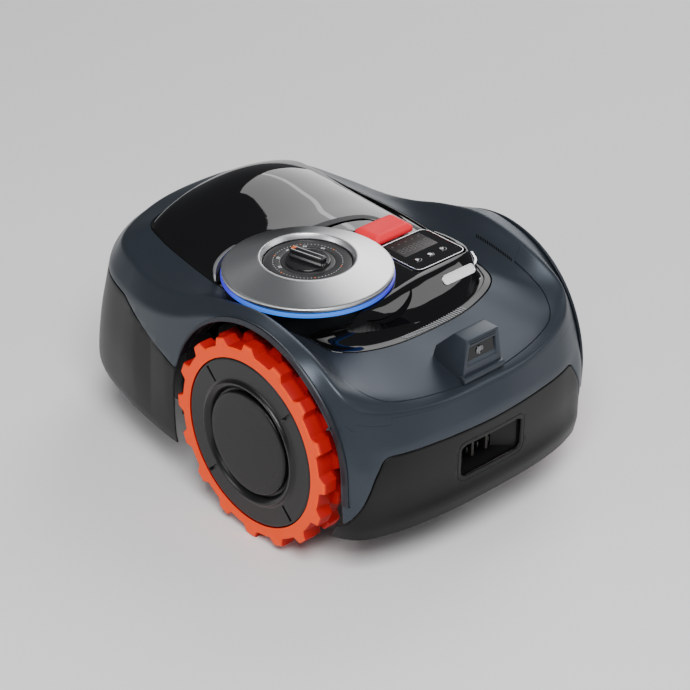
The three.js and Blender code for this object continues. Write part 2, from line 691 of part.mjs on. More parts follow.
function bladeMotor() {
  return rod(0, BAY.y, 27.6, DECK.z - 4, DECK.z + 44, 32);
}

function bladeDisc() {
  const { r, z, plate, pivotR } = ROTOR;
  const shaft = rod(0, BAY.y, 5, z, DECK.z - 4 - GAP);
  const profile = [[0, z], [r - 6, z], [r, z + 3], [r, z + 3 + plate], [r - 7, z + plate], [0, z + plate]];
  const dish = turned(profile, 36, 0, BAY.y);
  const holes = bladeAngles().map((angle) => {
    const [x, y] = [pivotR * Math.cos(angle), BAY.y + pivotR * Math.sin(angle)];
    return rod(x, y, 3.4, 0, z + 30, 16);
  });
  return cut(join(dish, shaft), ...holes);
}

function bladeAngles() {
  return [0, 1, 2].map((i) => (i * Math.PI * 2) / 3 + Math.PI / 2);
}

function rotorBolt() {
  return rod(0, BAY.y, 8, ROTOR.z - 5, ROTOR.z - GAP, 6);
}

function atBladePivot(solid, angle) {
  const geometry = toGeometry(solid);
  geometry.rotateZ(angle);
  geometry.translate(ROTOR.pivotR * Math.cos(angle), BAY.y + ROTOR.pivotR * Math.sin(angle), 0);
  return toSolid(geometry);
}

// A flat pivoting blade, pointing outwards from its pivot.
function blade(angle) {
  const shape = new THREE.Shape();
  shape.moveTo(-7, -8);
  shape.lineTo(ROTOR.bladeLength - 12, -8);
  shape.lineTo(ROTOR.bladeLength - 8, -4);
  shape.lineTo(ROTOR.bladeLength - 8, 4);
  shape.lineTo(ROTOR.bladeLength - 12, 8);
  shape.lineTo(-7, 8);
  shape.closePath();
  const plate = prism(shape, ROTOR.bladeZ, ROTOR.bladeZ + 1.2);
  return atBladePivot(cut(plate, rod(0, 0, 3.4, 30, 60, 16)), angle);
}

function bladeScrew(angle) {
  const head = rod(0, 0, 5.5, ROTOR.bladeZ - 3, ROTOR.bladeZ - GAP, 16);
  return atBladePivot(join(head, rod(0, 0, 3, ROTOR.bladeZ - 1, ROTOR.z + 6, 16)), angle);
}

// ---------------------------------------------------------------- assembly

const mower = new THREE.Group();

function add(name, solid, color, roughness, metalness) {
  const material = new THREE.MeshStandardMaterial({ color, roughness, metalness });
  const mesh = new THREE.Mesh(toGeometry(solid), material);
  mesh.name = name;
  mower.add(mesh);
}

function addCasings() {
  add('outer_shell', outerShell(), COLOURS.slate, 0.45, 0.2);
  add('deck_cover', deckCover(), COLOURS.gloss, 0.06, 0);
  add('front_bumper', frontBumper(), COLOURS.black, 0.7, 0);
  add('rear_skirt', rearSkirt(), COLOURS.black, 0.7, 0);
  add('arch_liner_right', archLiner(-1), COLOURS.black, 0.8, 0);
  add('arch_liner_left', archLiner(1), COLOURS.black, 0.8, 0);
}

function addTopControls() {
  add('camera_housing', cameraHousing(), COLOURS.slate, 0.5, 0.1);
  add('camera_window', cameraWindow(), COLOURS.glass, 0.05, 0);
  add('camera_lens', cameraLens(), COLOURS.glass, 0.05, 0.2);
  add('disc_pedestal', discPedestal(), COLOURS.gloss, 0.1, 0);
  add('light_ring', lightRing(), COLOURS.blue, 0.3, 0);
  add('metal_disc', metalDisc(), COLOURS.steel, 0.3, 1);
  add('dial_plate', dialPlate(), COLOURS.black, 0.6, 0);
  add('height_knob', heightKnob(), COLOURS.black, 0.4, 0);
  add('knob_spindle', knobSpindle(), COLOURS.steel, 0.4, 1);
  add('control_panel', controlPanel(), COLOURS.gloss, 0.1, 0);
  add('display_trim', displayTrim(), COLOURS.silver, 0.2, 1);
  add('display_glass', displayGlass(), COLOURS.glass, 0.05, 0);
  add('display_screen', displayScreen(), COLOURS.glass, 0.3, 0);
  ['key_start', 'key_home', 'key_ok'].forEach((name, i) => {
    add(name, key(keyPlaces()[i]), COLOURS.black, 0.3, 0);
  });
  add('stop_button', stopButton(), COLOURS.red, 0.5, 0);
  add('stop_switch', stopSwitch(), COLOURS.black, 0.6, 0);
  add('badge_plate', badgePlate(), COLOURS.silver, 0.3, 0.8);
  add('antenna_module', antennaModule(), COLOURS.black, 0.6, 0);
}

function addPort() {
  add('charge_socket', chargeSocket(), COLOURS.black, 0.6, 0);
  add('charge_contact_right', chargeContact(-16), COLOURS.brass, 0.3, 1);
  add('charge_contact_left', chargeContact(4), COLOURS.brass, 0.3, 1);
}

function addChassis() {
  add('chassis_tub', chassisTub(), COLOURS.black, 0.8, 0);
  add('battery_pack', batteryPack(), COLOURS.black, 0.5, 0);
  add('main_board', mainBoard(), COLOURS.green, 0.6, 0);
}

function addSide(side, label) {
  add(`drive_motor_${label}`, driveMotor(side), COLOURS.steel, 0.5, 0.9);
  add(`tyre_${label}`, tyre(side), COLOURS.orange, 0.75, 0);
  add(`rim_${label}`, rim(side), COLOURS.black, 0.5, 0);
  add(`hub_cap_${label}`, hubCap(side), COLOURS.gloss, 0.35, 0);
  add(`wheel_axle_${label}`, wheelAxle(side), COLOURS.steel, 0.3, 1);
  add(`caster_fork_${label}`, casterFork(side), COLOURS.black, 0.6, 0);
  add(`caster_wheel_${label}`, casterWheel(side), COLOURS.rubber, 0.8, 0);
  add(`caster_axle_${label}`, casterAxle(side), COLOURS.steel, 0.3, 1);
  add(`guide_rod_${label}`, guideRod(side), COLOURS.steel, 0.3, 1);
}

function addCuttingDeck() {
  add('deck_carriage', deckCarriage(), COLOURS.black, 0.7, 0);
  add('blade_motor', bladeMotor(), COLOURS.steel, 0.5, 0.9);
  add('blade_disc', bladeDisc(), COLOURS.black, 0.6, 0);
  add('rotor_bolt', rotorBolt(), COLOURS.steel, 0.3, 1);
  bladeAngles().forEach((angle, i) => {
    const letter = 'abc'[i];
    add(`blade_${letter}`, blade(angle), COLOURS.steel, 0.3, 1);
    add(`blade_screw_${letter}`, bladeScrew(angle), COLOURS.steel, 0.3, 1);
  });
}

addCasings();
addTopControls();
addPort();
addChassis();
addSide(-1, 'right');
addSide(1, 'left');
addCuttingDeck();

export default mower;
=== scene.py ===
"""Robotic lawn mower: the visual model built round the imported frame."""
import math

import bmesh
import bpy
import numpy as np
from mathutils import Matrix, Vector
from mathutils.bvhtree import BVHTree


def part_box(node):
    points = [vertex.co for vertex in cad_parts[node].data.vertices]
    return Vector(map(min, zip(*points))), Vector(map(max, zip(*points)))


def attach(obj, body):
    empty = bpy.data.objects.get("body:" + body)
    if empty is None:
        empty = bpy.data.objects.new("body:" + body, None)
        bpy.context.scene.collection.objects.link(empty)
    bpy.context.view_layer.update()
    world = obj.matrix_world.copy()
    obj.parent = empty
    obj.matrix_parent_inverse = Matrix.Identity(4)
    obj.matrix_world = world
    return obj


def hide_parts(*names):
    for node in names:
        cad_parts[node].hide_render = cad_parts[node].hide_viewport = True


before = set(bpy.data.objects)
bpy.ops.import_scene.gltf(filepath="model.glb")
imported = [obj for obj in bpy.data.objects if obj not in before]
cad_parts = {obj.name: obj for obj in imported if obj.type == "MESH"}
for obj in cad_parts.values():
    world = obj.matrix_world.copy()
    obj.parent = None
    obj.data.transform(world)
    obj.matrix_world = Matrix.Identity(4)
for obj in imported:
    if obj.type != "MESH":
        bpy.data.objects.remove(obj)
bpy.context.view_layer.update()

# ---------------------------------------------------------------- driving sizes, in millimetres

MM = 0.001
SEAM = 0.9  # visible joint line between two casings
WALL = 2.4  # wall of a moulded casing
ROUND = 1.3  # rounding of a casing's rim
AROUND = 336  # points round the casing
ARCH = {"y": -101, "z": 115, "r": 124, "band": 131.5, "inner": 150, "foot": 69}
HOOD_SEAM = {"back": -152, "low": 175, "width": 1.5, "depth": 1.1}
BUMPER_BACK = -195
PORT_GROOVE = {"gap": 5, "width": 1.4, "depth": 0.5}  # the fine line round the charging port's mouth
GRILLE = {"heights": (150, 158, 166), "half": 62, "width": 2.6, "depth": 1.6}  # grooves at the rear
BEYOND = 40.0  # field value outside a groove's stretch
UNCUT = 60.0  # field value where an opening doesn't cut

# Closed outlines of the casing, from the glossy cover's edge down to the bottom edge. Each is half an
# outline, from the front centre round the side to the rear centre.
COVER_EDGE = [
    (0, -174, 203), (45, -174, 205), (77, -168, 207), (100, -160, 210), (114, -148, 212), (119, -130, 215),
    (121, -105, 218), (125, -45, 223), (127, 15, 226), (121, 78, 229), (116, 118, 233), (106, 148, 237),
    (60, 162, 240), (0, 168, 243)]
HOOD_RING = [
    (0, -250, 184), (50, -246, 185), (95, -237, 189), (122, -226, 196), (138, -200, 207), (141, -165, 219),
    (140, -105, 228), (142, -40, 230), (143, 18, 224), (138, 75, 221), (131, 119, 223), (116, 156, 231),
    (64, 173, 238), (0, 179, 241)]
CREST = [
    (0, -256, 180), (62, -254, 181), (127, -237, 187), (150, -223, 195), (159, -206, 212), (156, -163, 235),
    (155, -95, 249), (156, -32, 240), (158, 18, 225), (160, 62, 215), (151, 118, 216), (129, 168, 222),
    (72, 186, 234), (0, 192, 237)]
SHOULDER = [
    (0, -266, 151), (65, -262, 150), (122, -251, 149), (163, -228, 157), (175, -203, 186), (176, -160, 229),
    (175, -97, 246), (176, -35, 230), (177, 18, 206), (175, 65, 193), (164, 121, 188), (142, 176, 192),
    (84, 219, 199), (0, 235, 203)]
WAIST = [
    (0, -266, 120), (68, -263, 120), (122, -255, 120), (163, -240, 120), (178, -212, 120), (179, -165, 130),
    (178, -100, 135), (179, -38, 132), (181, 18, 124), (180, 65, 120), (172, 124, 122), (149, 186, 124),
    (86, 244, 126), (0, 260, 127)]
FLARE = [
    (0, -265, 84), (68, -262, 84), (122, -253, 84), (160, -239, 84), (175, -212, 84), (178, -165, 84),
    (178, -100, 84), (179, -38, 84), (181, 18, 84), (180, 65, 84), (172, 125, 85), (150, 191, 86),
    (86, 250, 87), (0, 267, 88)]
LIP = [
    (0, -270, 68), (78, -266, 68), (128, -255, 66), (159, -240, 64), (173, -214, 62), (177, -165, 60),
    (178, -100, 60), (179, -38, 60), (180, 18, 60), (179, 65, 62), (171, 126, 66), (149, 193, 68),
    (86, 253, 70), (0, 270, 71)]
HEM = [
    (0, -268, 55), (78, -264, 54), (127, -253, 52), (157, -238, 50), (170, -213, 48), (174, -165, 48),
    (175, -100, 48), (176, -38, 48), (178, 18, 49), (177, 65, 53), (169, 125, 58), (147, 191, 61),
    (85, 250, 64), (0, 267, 65)]
OUTLINES = [COVER_EDGE, HOOD_RING, CREST, SHOULDER, WAIST, FLARE, LIP, HEM]
BEND_REACH = [0, 15, 4, 5, 26, 16, 5, 0]  # how far from each outline the section starts to bend

# Height of the glossy cover along its centre line, as (y, z).
CROWN = [
    (-174, 203), (-160, 214), (-145, 224), (-133, 230), (-100, 236), (-64, 241), (-20, 248), (0, 252),
    (34, 258), (66, 267), (90, 274), (112, 277.4), (132, 273.5), (150, 264), (162, 252), (168, 243)]
CROWN_Y, CROWN_Z = zip(*CROWN)
# The same along its side edges.
SIDE_Y, SIDE_Z = [-174, -105, -45, 15, 78, 118, 168], [203, 218, 223, 226, 229, 233, 243]
HATCH = {"count": 25, "start": -33, "pitch": 3.5, "turn": 34}  # ribs on the cover's front lip
STOP_GAP = 2.5  # room between the cover and the stop bar
ROLL = 17  # width of the rolled edge of the glossy cover

# Outlines that split the casing: the bumper's seen from the front, and the rear skirt's from the side.
BUMPER_SIDE = [(0, 140), (133, 142), (146, 121), (156, 92), (170, 64), (215, 60), (215, 20)]
SKIRT = [(-40, 20), (-40, 118), (10, 138), (79, 165), (120, 182), (300, 190), (300, 20)]

# Plan of the display island's outer edge.
ISLAND = [
    (104, -60), (111, -90), (111, -120), (105, -142), (90, -155), (50, -162), (0, -162), (-45, -157),
    (-82, -144), (-95, -120), (-70, -80), (-20, -50), (20, -58)]

# Plan of the level part of the island, round the display.
PLATEAU = [
    (107, -30), (107, -108), (99, -127), (82, -136), (45, -138), (0, -138.5), (-60, -143), (-140, -152),
    (-140, -30)]


def box_mm(node):
    low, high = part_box(node)
    return low / MM, high / MM


def middle(node):
    low, high = box_mm(node)
    return (low + high) / 2


def plan(node):
    """Centre, width and depth of a node seen from above."""
    low, high = box_mm(node)
    return (low.x + high.x) / 2, (low.y + high.y) / 2, high.x - low.x, high.y - low.y


def at(x, y, z=0, turn=0, axis="Z"):
    """A placement at a point, turned by some degrees about an axis."""
    return Matrix.Translation((x, y, z)) @ Matrix.Rotation(math.radians(turn), 4, axis)


DISC = middle("metal_disc")
DISC_R = plan("metal_disc")[2] / 2
ISLAND_TOP = box_mm("display_trim")[1].z - 0.5
WHEEL_FACE = box_mm("tyre_left")[1].x
LUGS = 16  # lugs round each of a tyre's two bands
TIP, ROOT = 113.6, 105.5  # radius of the tyre over the lugs and between them
AXLE = Vector((0, middle("wheel_axle_right").y, middle("wheel_axle_right").z))


# ---------------------------------------------------------------- camera, floor and lights

def look_at(obj, target):
    obj.rotation_euler = (Vector(target) - obj.location).to_track_quat("-Z", "Y").to_euler()


def make_camera():
    """A long lens at the front right-hand corner, looking down on the machine."""
    azimuth, elevation, roll = math.radians(-42.95), math.radians(30.82), math.radians(0.37)
    back = Vector((math.sin(azimuth) * math.cos(elevation), -math.cos(azimuth) * math.cos(elevation),
                   math.sin(elevation)))
    right = Vector((0, 0, 1)).cross(back).normalized()
    up = back.cross(right)
    across = right * math.cos(roll) + up * math.sin(roll)
    upright = up * math.cos(roll) - right * math.sin(roll)
    data = bpy.data.cameras.new("camera")
    data.sensor_width = 36
    data.lens = 125.2
    camera = bpy.data.objects.new("camera", data)
    rotation = Matrix((across, upright, back)).transposed()
    camera.matrix_world = at(-1.5, -1.6565, 1.442) @ rotation.to_4x4()
    bpy.context.scene.collection.objects.link(camera)
    bpy.context.scene.camera = camera


def area_light(name, place, target, size, power):
    data = bpy.data.lights.new(name, "AREA")
    data.shape = "RECTANGLE"
    data.size, data.size_y = size
    data.energy = power
    light = bpy.data.objects.new(name, data)
    light.location = place
    bpy.context.scene.collection.objects.link(light)
    look_at(light, target)


def make_studio():
    world = bpy.data.worlds.new("studio")
    bpy.context.scene.world = world
    world.use_nodes = True
    backdrop = world.node_tree.nodes["Background"]
    backdrop.inputs["Color"].default_value = (0.93, 0.96, 1.0, 1)
    backdrop.inputs["Strength"].default_value = 0.16
    centre = (0, 0, 0.12)
    area_light("key_softbox", (-1.2, -1.5, 2.6), centre, (1.5, 1.5), 98)
    area_light("front_softbox", (1.52, -1.75, 1.18), centre, (1.3, 0.8), 9)
    area_light("side_softbox", (-2.4, 0.5, 1.0), centre, (0.7, 0.9), 13)
    area_light("cover_panel", (2.6, 1.26, 3.1), (0, 0, 0.24), (2.0, 2.3), 43)
    area_light("low_panel", (3.67, 1.63, 1.23), (0, 0, 0.24), (2.3, 2.7), 58)
    bpy.ops.mesh.primitive_plane_add(size=12)
    floor = bpy.context.object
    floor.name = "floor"
    paper = bpy.data.materials.new("pale_paper")
    paper.use_nodes = True
    shader = paper.node_tree.nodes["Principled BSDF"]
    shader.inputs["Base Color"].default_value = (0.93, 0.93, 0.93, 1)
    shader.inputs["Roughness"].default_value = 0.9
    floor.data.materials.append(paper)


# ---------------------------------------------------------------- materials

def set_inputs(material, node, *slots, **named):
    """Gives a node's sockets, by number or by name, a plain value or another node's output."""
    wanted = list(enumerate(slots)) + [(name.replace("_", " "), value) for name, value in named.items()]
    for socket, value in wanted:
        if isinstance(value, bpy.types.NodeSocket):
            material.node_tree.links.new(value, node.inputs[socket])
        else:
            node.inputs[socket].default_value = value


def add_node(material, kind, *slots, operation=None, result=0, **named):
    """Adds a shader node and returns one of its outputs."""
    node = material.node_tree.nodes.new("ShaderNode" + kind)
    if operation:
        node.operation = operation
    set_inputs(material, node, *slots, **named)
    return node.outputs[result]


def shader_of(material):
    return material.node_tree.nodes["Principled BSDF"]


def add_relief(material, height, strength, distance):
    normal = add_node(material, "Bump", Strength=strength, Distance=distance, Height=height)
    set_inputs(material, shader_of(material), Normal=normal)


def surface(name, colour, roughness, metallic=0.0, grain=900, bump=0.0, spread=0.06, mottle=0.12,
            coat=0.0, ior=1.5, specular=0.5, stretch=(1, 1, 1)):
    """A moulded or metal surface: uneven tone and gloss from two noises, and a fine grain as relief."""
    material = bpy.data.materials.new(name)
    material.use_nodes = True
    place = add_node(material, "TexCoord", result="Object")
    place = add_node(material, "Mapping", Vector=place, Scale=stretch)
    broad = add_node(material, "TexNoise", Vector=place, Scale=22, Detail=6)
    fine = add_node(material, "TexNoise", Vector=place, Scale=grain, Detail=3)
    tone = add_node(material, "MapRange", Value=broad, To_Min=1 - mottle, To_Max=1 + mottle)
    tint = add_node(material, "VectorMath", colour, operation="SCALE", Scale=tone)
    gloss = add_node(material, "MapRange", Value=fine, To_Min=max(roughness - spread, 0.01),
                     To_Max=roughness + spread)
    set_inputs(material, shader_of(material), Metallic=metallic, Coat_Weight=coat, Coat_Roughness=0.03,
               IOR=ior, Specular_IOR_Level=specular, Base_Color=tint, Roughness=gloss)
    if bump:
        add_relief(material, fine, bump, 0.0004)
    return material


def turned_metal(name, colour, roughness, centre):
    """Metal brushed in circles round the vertical axis through a centre."""
    material = surface(name, colour, roughness, metallic=1, grain=500, spread=0.05, mottle=0.03)
    place = add_node(material, "TexCoord", result="Object")
    axis = (centre.x * MM, centre.y * MM, 0)
    offset = add_node(material, "VectorMath", place, axis, operation="SUBTRACT")
    offset = add_node(material, "VectorMath", offset, (1, 1, 0), operation="MULTIPLY")
    radius = add_node(material, "VectorMath", offset, operation="LENGTH", result="Value")
    rings = add_node(material, "TexNoise", Scale=2600, Detail=4)
    rings.node.noise_dimensions = "1D"
    set_inputs(material, rings.node, W=radius)
    add_relief(material, rings, 0.16, 0.0002)
    along = add_node(material, "VectorMath", offset, (0, 0, 1), operation="CROSS_PRODUCT")
    along = add_node(material, "VectorMath", along, operation="NORMALIZE")
    set_inputs(material, shader_of(material), Anisotropic=0.75, Tangent=along)
    return material


def rubber_with_painted_shade():
    """Orange rubber with painted shade: its tread faces and inner flanks are a deeper red than its outer side
    walls, as if shaded under the fender.
    """
    material = surface("orange_tread", (1.0, 0.07, 0.002), 0.6, grain=700, bump=0.25, mottle=0.05,
                       specular=0.25)
    normal = add_node(material, "NewGeometry", result="True Normal")
    facing = add_node(material, "SeparateXYZ", normal, result="X")
    facing = add_node(material, "Math", facing, operation="ABSOLUTE")
    sideways = add_node(material, "MapRange", Value=facing, From_Min=0.35, From_Max=0.9)
    sideways.node.interpolation_type = "SMOOTHSTEP"
    place = add_node(material, "TexCoord", result="Object")
    across = add_node(material, "SeparateXYZ", place, result="X")
    across = add_node(material, "Math", across, operation="ABSOLUTE")
    outermost = add_node(material, "MapRange", Value=across, From_Min=0.171, From_Max=0.176)
    share = add_node(material, "Math", sideways, outermost, operation="MULTIPLY")
    # Painted shade: faces that don't face outwards on the outer side take a deep red as if in shadow; only the
    # outer side faces keep the plain orange.
    orange = shader_of(material).inputs["Base Color"].links[0].from_socket
    painted_shade_mix = material.node_tree.nodes.new("ShaderNodeMix")
    painted_shade_mix.data_type = "RGBA"
    set_inputs(material, painted_shade_mix, Factor=share, A=(0.42, 0.004, 0.002, 1), B=orange)
    set_inputs(material, shader_of(material), Base_Color=painted_shade_mix.outputs["Result"])
    return material


def light_guide():
    """A glowing ring, sky blue at the front and violet round the sides."""
    material = surface("light_guide", (0.02, 0.04, 0.2), 0.3, grain=300)
    place = add_node(material, "TexCoord", result="Object")
    lean = add_node(material, "VectorMath", place, (-0.68, -0.73, 0), operation="DOT_PRODUCT",
                    result="Value")
    share = add_node(material, "MapRange", Value=lean, From_Min=0.122, From_Max=0.169)
    glow = add_node(material, "ValToRGB", Fac=share)
    ramp = glow.node.color_ramp.elements
    ramp[0].color, ramp[1].color = (0.035, 0.012, 0.6, 1), (0.03, 0.26, 1.0, 1)
    set_inputs(material, shader_of(material), Emission_Color=glow, Emission_Strength=1.1)
    return material


def make_materials():
    slate = (0.036, 0.045, 0.058)
    return {
        "slate": surface("slate_shell", slate, 0.38, metallic=0.5, grain=1500, bump=0.06, mottle=0.04),
        # A darker copy of the slate shell: painted shade for the arch band, whose face stands in shadow.
        "slate_painted_shade": surface("slate_shell_painted_shade", (0.016, 0.021, 0.029), 0.4, metallic=0.4, grain=1500,
                              bump=0.06, mottle=0.04),
        "gloss": surface("gloss_black", (0.003, 0.003, 0.0033), 0.035, grain=60, spread=0.012, ior=1.55),
        "black": surface("black_shell", (0.0045, 0.0045, 0.005), 0.42, grain=1300, bump=0.3,
                         specular=0.26),
        "inner": surface("inner_black", (0.012, 0.013, 0.015), 0.6, grain=800, bump=0.3),
        "dial": surface("dial_black", (0.018, 0.018, 0.019), 0.34, grain=1200, bump=0.1),
        "knob": surface("knob_black", (0.01, 0.01, 0.011), 0.22, grain=900, bump=0.05),
        "disc": turned_metal("brushed_disc", (0.66, 0.665, 0.675), 0.3, DISC),
        "light": light_guide(),
        "glass": surface("screen_glass", (0.002, 0.002, 0.0025), 0.02, grain=50, spread=0.01, coat=0.5),
        "screen": surface("screen", (0.016, 0.011, 0.011), 0.3, grain=1500, bump=0.05, specular=0.2),
        "segment": surface("segment_grey", (0.075, 0.07, 0.07), 0.3, grain=1500),
        "vent": surface("vent_grey", (0.2, 0.205, 0.215), 0.32, metallic=0.4, grain=900),
        "chrome": surface("bright_trim", (0.72, 0.73, 0.75), 0.16, metallic=1, grain=700),
        "badge": surface("badge_plate", (0.68, 0.69, 0.7), 0.33, metallic=0.85, grain=1500, bump=0.15),
        "stop": surface("stop_red", (1.0, 0.02, 0.04), 0.5, grain=1100, bump=0.12, mottle=0.03,
                        specular=0.2),
        "tread": rubber_with_painted_shade(),
        "rim": surface("rim_black", (0.007, 0.007, 0.0075), 0.3, grain=1200, bump=0.12, specular=0.35),
        "hub": surface("hub_black", (0.005, 0.005, 0.0055), 0.28, grain=1400, bump=0.08, specular=0.3),
        "steel": surface("steel", (0.56, 0.57, 0.59), 0.3, metallic=1, grain=400, bump=0.08,
                         stretch=(1, 1, 12)),
        "motor": surface("motor_case", (0.42, 0.43, 0.45), 0.42, metallic=1, grain=500, bump=0.1),
        "battery": surface("battery", (0.02, 0.026, 0.04), 0.28, grain=90, bump=0.25),
        "board": surface("circuit_board", (0.008, 0.11, 0.035), 0.35, grain=500, bump=0.3),
        "brass": surface("contact_metal", (0.02, 0.018, 0.015), 0.45, metallic=0.4, grain=600, bump=0.05),
        "rubber": surface("caster_rubber", (0.02, 0.02, 0.02), 0.7, grain=600, bump=0.35),
        "white": surface("white_print", (0.75, 0.76, 0.77), 0.4, grain=900),
        "orange": surface("orange_print", (0.95, 0.2, 0.04), 0.4, grain=900),
        "lens": surface("lens_glass", (0.004, 0.006, 0.012), 0.02, grain=60, coat=1.0, spread=0.01,
                        ior=1.9),
        "pane": surface("window_glass", (0.006, 0.006, 0.007), 0.12, grain=60, specular=0.25),
        "seam": surface("seam_black", (0.0015, 0.0015, 0.002), 0.6, grain=800, bump=0.1, specular=0.08),
    }


# ---------------------------------------------------------------- mesh helpers

def finish(bm, name, body, material, nodes=(), wall=0.0, sharp=32):
    """Makes a piece from a mesh in millimetres, and rides it on its body in place of some frame nodes."""
    bmesh.ops.transform(bm, matrix=Matrix.Scale(MM, 4), verts=bm.verts)
    mesh = bpy.data.meshes.new(name)
    bm.to_mesh(mesh)
    bm.free()
    piece = bpy.data.objects.new(name, mesh)
    bpy.context.scene.collection.objects.link(piece)
    if wall:
        thicken = piece.modifiers.new("wall", "SOLIDIFY")
        thicken.thickness = wall * MM
        thicken.offset = -1
        solid = bpy.data.meshes.new_from_object(
            piece.evaluated_get(bpy.context.evaluated_depsgraph_get()))
        piece.modifiers.clear()
        piece.data = solid
    piece.data.materials.clear()
    piece.data.materials.append(MATERIALS[material])
    piece.data.shade_smooth()
    piece.data.set_sharp_from_angle(angle=math.radians(sharp))
    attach(piece, body)
    if nodes:
        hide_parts(*nodes)
    return piece


def closed_curve(half, count):
    """Points round a half outline and its mirror image, on a centripetal Catmull-Rom curve."""
    whole = [Vector(point) for point in half]
    whole += [Vector((-x, y, z)) for x, y, z in reversed(half[1:-1])]
    total = len(whole)
    points = []
    for i in range(count):
        place = i * total / count
        start, share = int(place), place - int(place)
        p0, p1, p2, p3 = (whole[(start + k) % total] for k in (-1, 0, 1, 2))
        d0, d1, d2 = ((b - a).length ** 0.5 for a, b in ((p0, p1), (p1, p2), (p2, p3)))
        m1 = ((p1 - p0) / d0 - (p2 - p0) / (d0 + d1) + (p2 - p1) / d1) * d1
        m2 = ((p2 - p1) / d1 - (p3 - p1) / (d1 + d2) + (p3 - p2) / d2) * d1
        points.append(p1 + m1 * share + (3 * (p2 - p1) - 2 * m1 - m2) * share ** 2
                      + (2 * (p1 - p2) + m1 + m2) * share ** 3)
    return points


def bend(points, reaches, steps=6, runs=4, closed=False):
    """A polyline with its corners rounded, always with the same number of points."""
    total = len(points)
    corners = range(total) if closed else range(1, total - 1)
    out = [] if closed else [points[0]]
    for k in corners:
        corner, before, after = points[k], points[k - 1], points[(k + 1) % total]
        start = corner + (before - corner) * min(reaches[k] / (before - corner).length, 0.49)
        end = corner + (after - corner) * min(reaches[k] / (after - corner).length, 0.49)
        if out and runs:
            last = out[-1]
            out += [last.lerp(start, i / runs) for i in range(1, runs)]
        out += [start * (1 - t) ** 2 + corner * 2 * t * (1 - t) + end * t ** 2
                for t in (i / steps for i in range(steps + 1))]
    if not closed:
        last = out[-1]
        out += [last.lerp(points[-1], i / runs) for i in range(1, runs + 1)]
    return out


def rounded(outline, reach, steps=6):
    """A closed 2-D outline with rounded corners."""
    return soft_profile(outline, reach, steps)


def rounded_rect(x, y, w, d, r, steps=6):
    corners = [(x + i * w / 2, y + j * d / 2) for i, j in ((1, 1), (-1, 1), (-1, -1), (1, -1))]
    return rounded(corners, r, steps)


def skin_rows(bm, rows, closed_rows=False):
    """Faces between rows of points, each row closed on itself."""
    grid = [[bm.verts.new(point) for point in row] for row in rows]
    pairs = list(zip(grid, grid[1:] + grid[:1])) if closed_rows else list(zip(grid, grid[1:]))
    for upper, lower in pairs:
        for i in range(len(upper)):
            j = (i + 1) % len(upper)
            bm.faces.new((upper[i], lower[i], lower[j], upper[j]))
    return grid


def settle(bm):
    bmesh.ops.recalc_face_normals(bm, faces=bm.faces)
    return bm


def bevelled(bm, width, segments=3, angle=28):
    """Rounds every edge that turns by more than an angle."""
    settle(bm)
    edges = [edge for edge in bm.edges
             if len(edge.link_faces) == 2 and edge.calc_face_angle() > math.radians(angle)]
    bmesh.ops.bevel(bm, geom=edges, offset=width, segments=segments, profile=0.5, affect="EDGES",
                    clamp_overlap=True)
    return bm


def row_at(outline, z):
    return [Vector((x, y, z)) for x, y in outline]


def prism(outline, z0, z1):
    return stack([row_at(outline, z0), row_at(outline, z1)])


def stack(layers):
    """A closed solid through rows of points from bottom to top, capped at both ends."""
    bm = bmesh.new()
    grid = skin_rows(bm, layers)
    bm.faces.new(grid[0])
    bm.faces.new(list(reversed(grid[-1])))
    return settle(bm)


def lathe(profile, segments=144):
    """A solid turned about Z from a closed profile of (radius, z), all radii above zero."""
    bm = bmesh.new()
    angles = [2 * math.pi * i / segments for i in range(segments)]
    skin_rows(bm, [[Vector((r * math.cos(a), r * math.sin(a), z)) for a in angles] for r, z in profile],
              closed_rows=True)
    return settle(bm)


def soft_profile(corners, reach, steps=4):
    """A profile with each corner rounded; the reach may differ from corner to corner."""
    points = [Vector(corner) for corner in corners]
    reaches = reach if isinstance(reach, list) else [reach] * len(points)
    return bend(points, reaches, steps, 0, closed=True)


def moved(bm, matrix):
    bmesh.ops.transform(bm, matrix=matrix, verts=bm.verts)
    return bm


def onto_axle(bm, side):
    """Turns a lathe about Z into one about the wheel axle, its +Z pointing outwards."""
    return moved(bm, at(0, AXLE.y, AXLE.z, 90 * side, "Y"))


def merged(parts):
    whole = bmesh.new()
    for part in parts:
        mesh = bpy.data.meshes.new("part")
        part.to_mesh(mesh)
        part.free()
        whole.from_mesh(mesh)
        bpy.data.meshes.remove(mesh)
    return whole


# ---------------------------------------------------------------- cutting a surface along scalar fields

def coordinates(bm):
    return np.array([vert.co for vert in bm.verts])


def slice_along(bm, field, levels):
    """Adds an edge loop along each level of a field, and returns the layer that holds its values."""
    layer = bm.verts.layers.float.get("field") or bm.verts.layers.float.new("field")
    for vert, value in zip(bm.verts, field(coordinates(bm))):
        vert[layer] = value
    for level in levels:
        crossing = [edge for edge in bm.edges
                    if (edge.verts[0][layer] - level) * (edge.verts[1][layer] - level) < -1e-9]
        for edge in crossing:
            first, second = edge.verts
            share = (level - first[layer]) / (second[layer] - first[layer])
            _, vert = bmesh.utils.edge_split(edge, first, share)
            vert[layer] = level
        on_level = dict.fromkeys(vert for vert in bm.verts if abs(vert[layer] - level) < 1e-6)
        for face in dict.fromkeys(face for vert in on_level for face in vert.link_faces):
            ends = [vert for vert in face.verts if vert in on_level]
            if len(ends) == 2 and not any(ends[1] in edge.verts for edge in ends[0].link_edges):
                bmesh.utils.face_split(face, ends[0], ends[1])
    return layer


def keep_above(bm, layer, level=0.0):
    gone = [face for face in bm.faces
            if sum(vert[layer] - level for vert in face.verts) < 0]
    bmesh.ops.delete(bm, geom=gone, context="FACES")


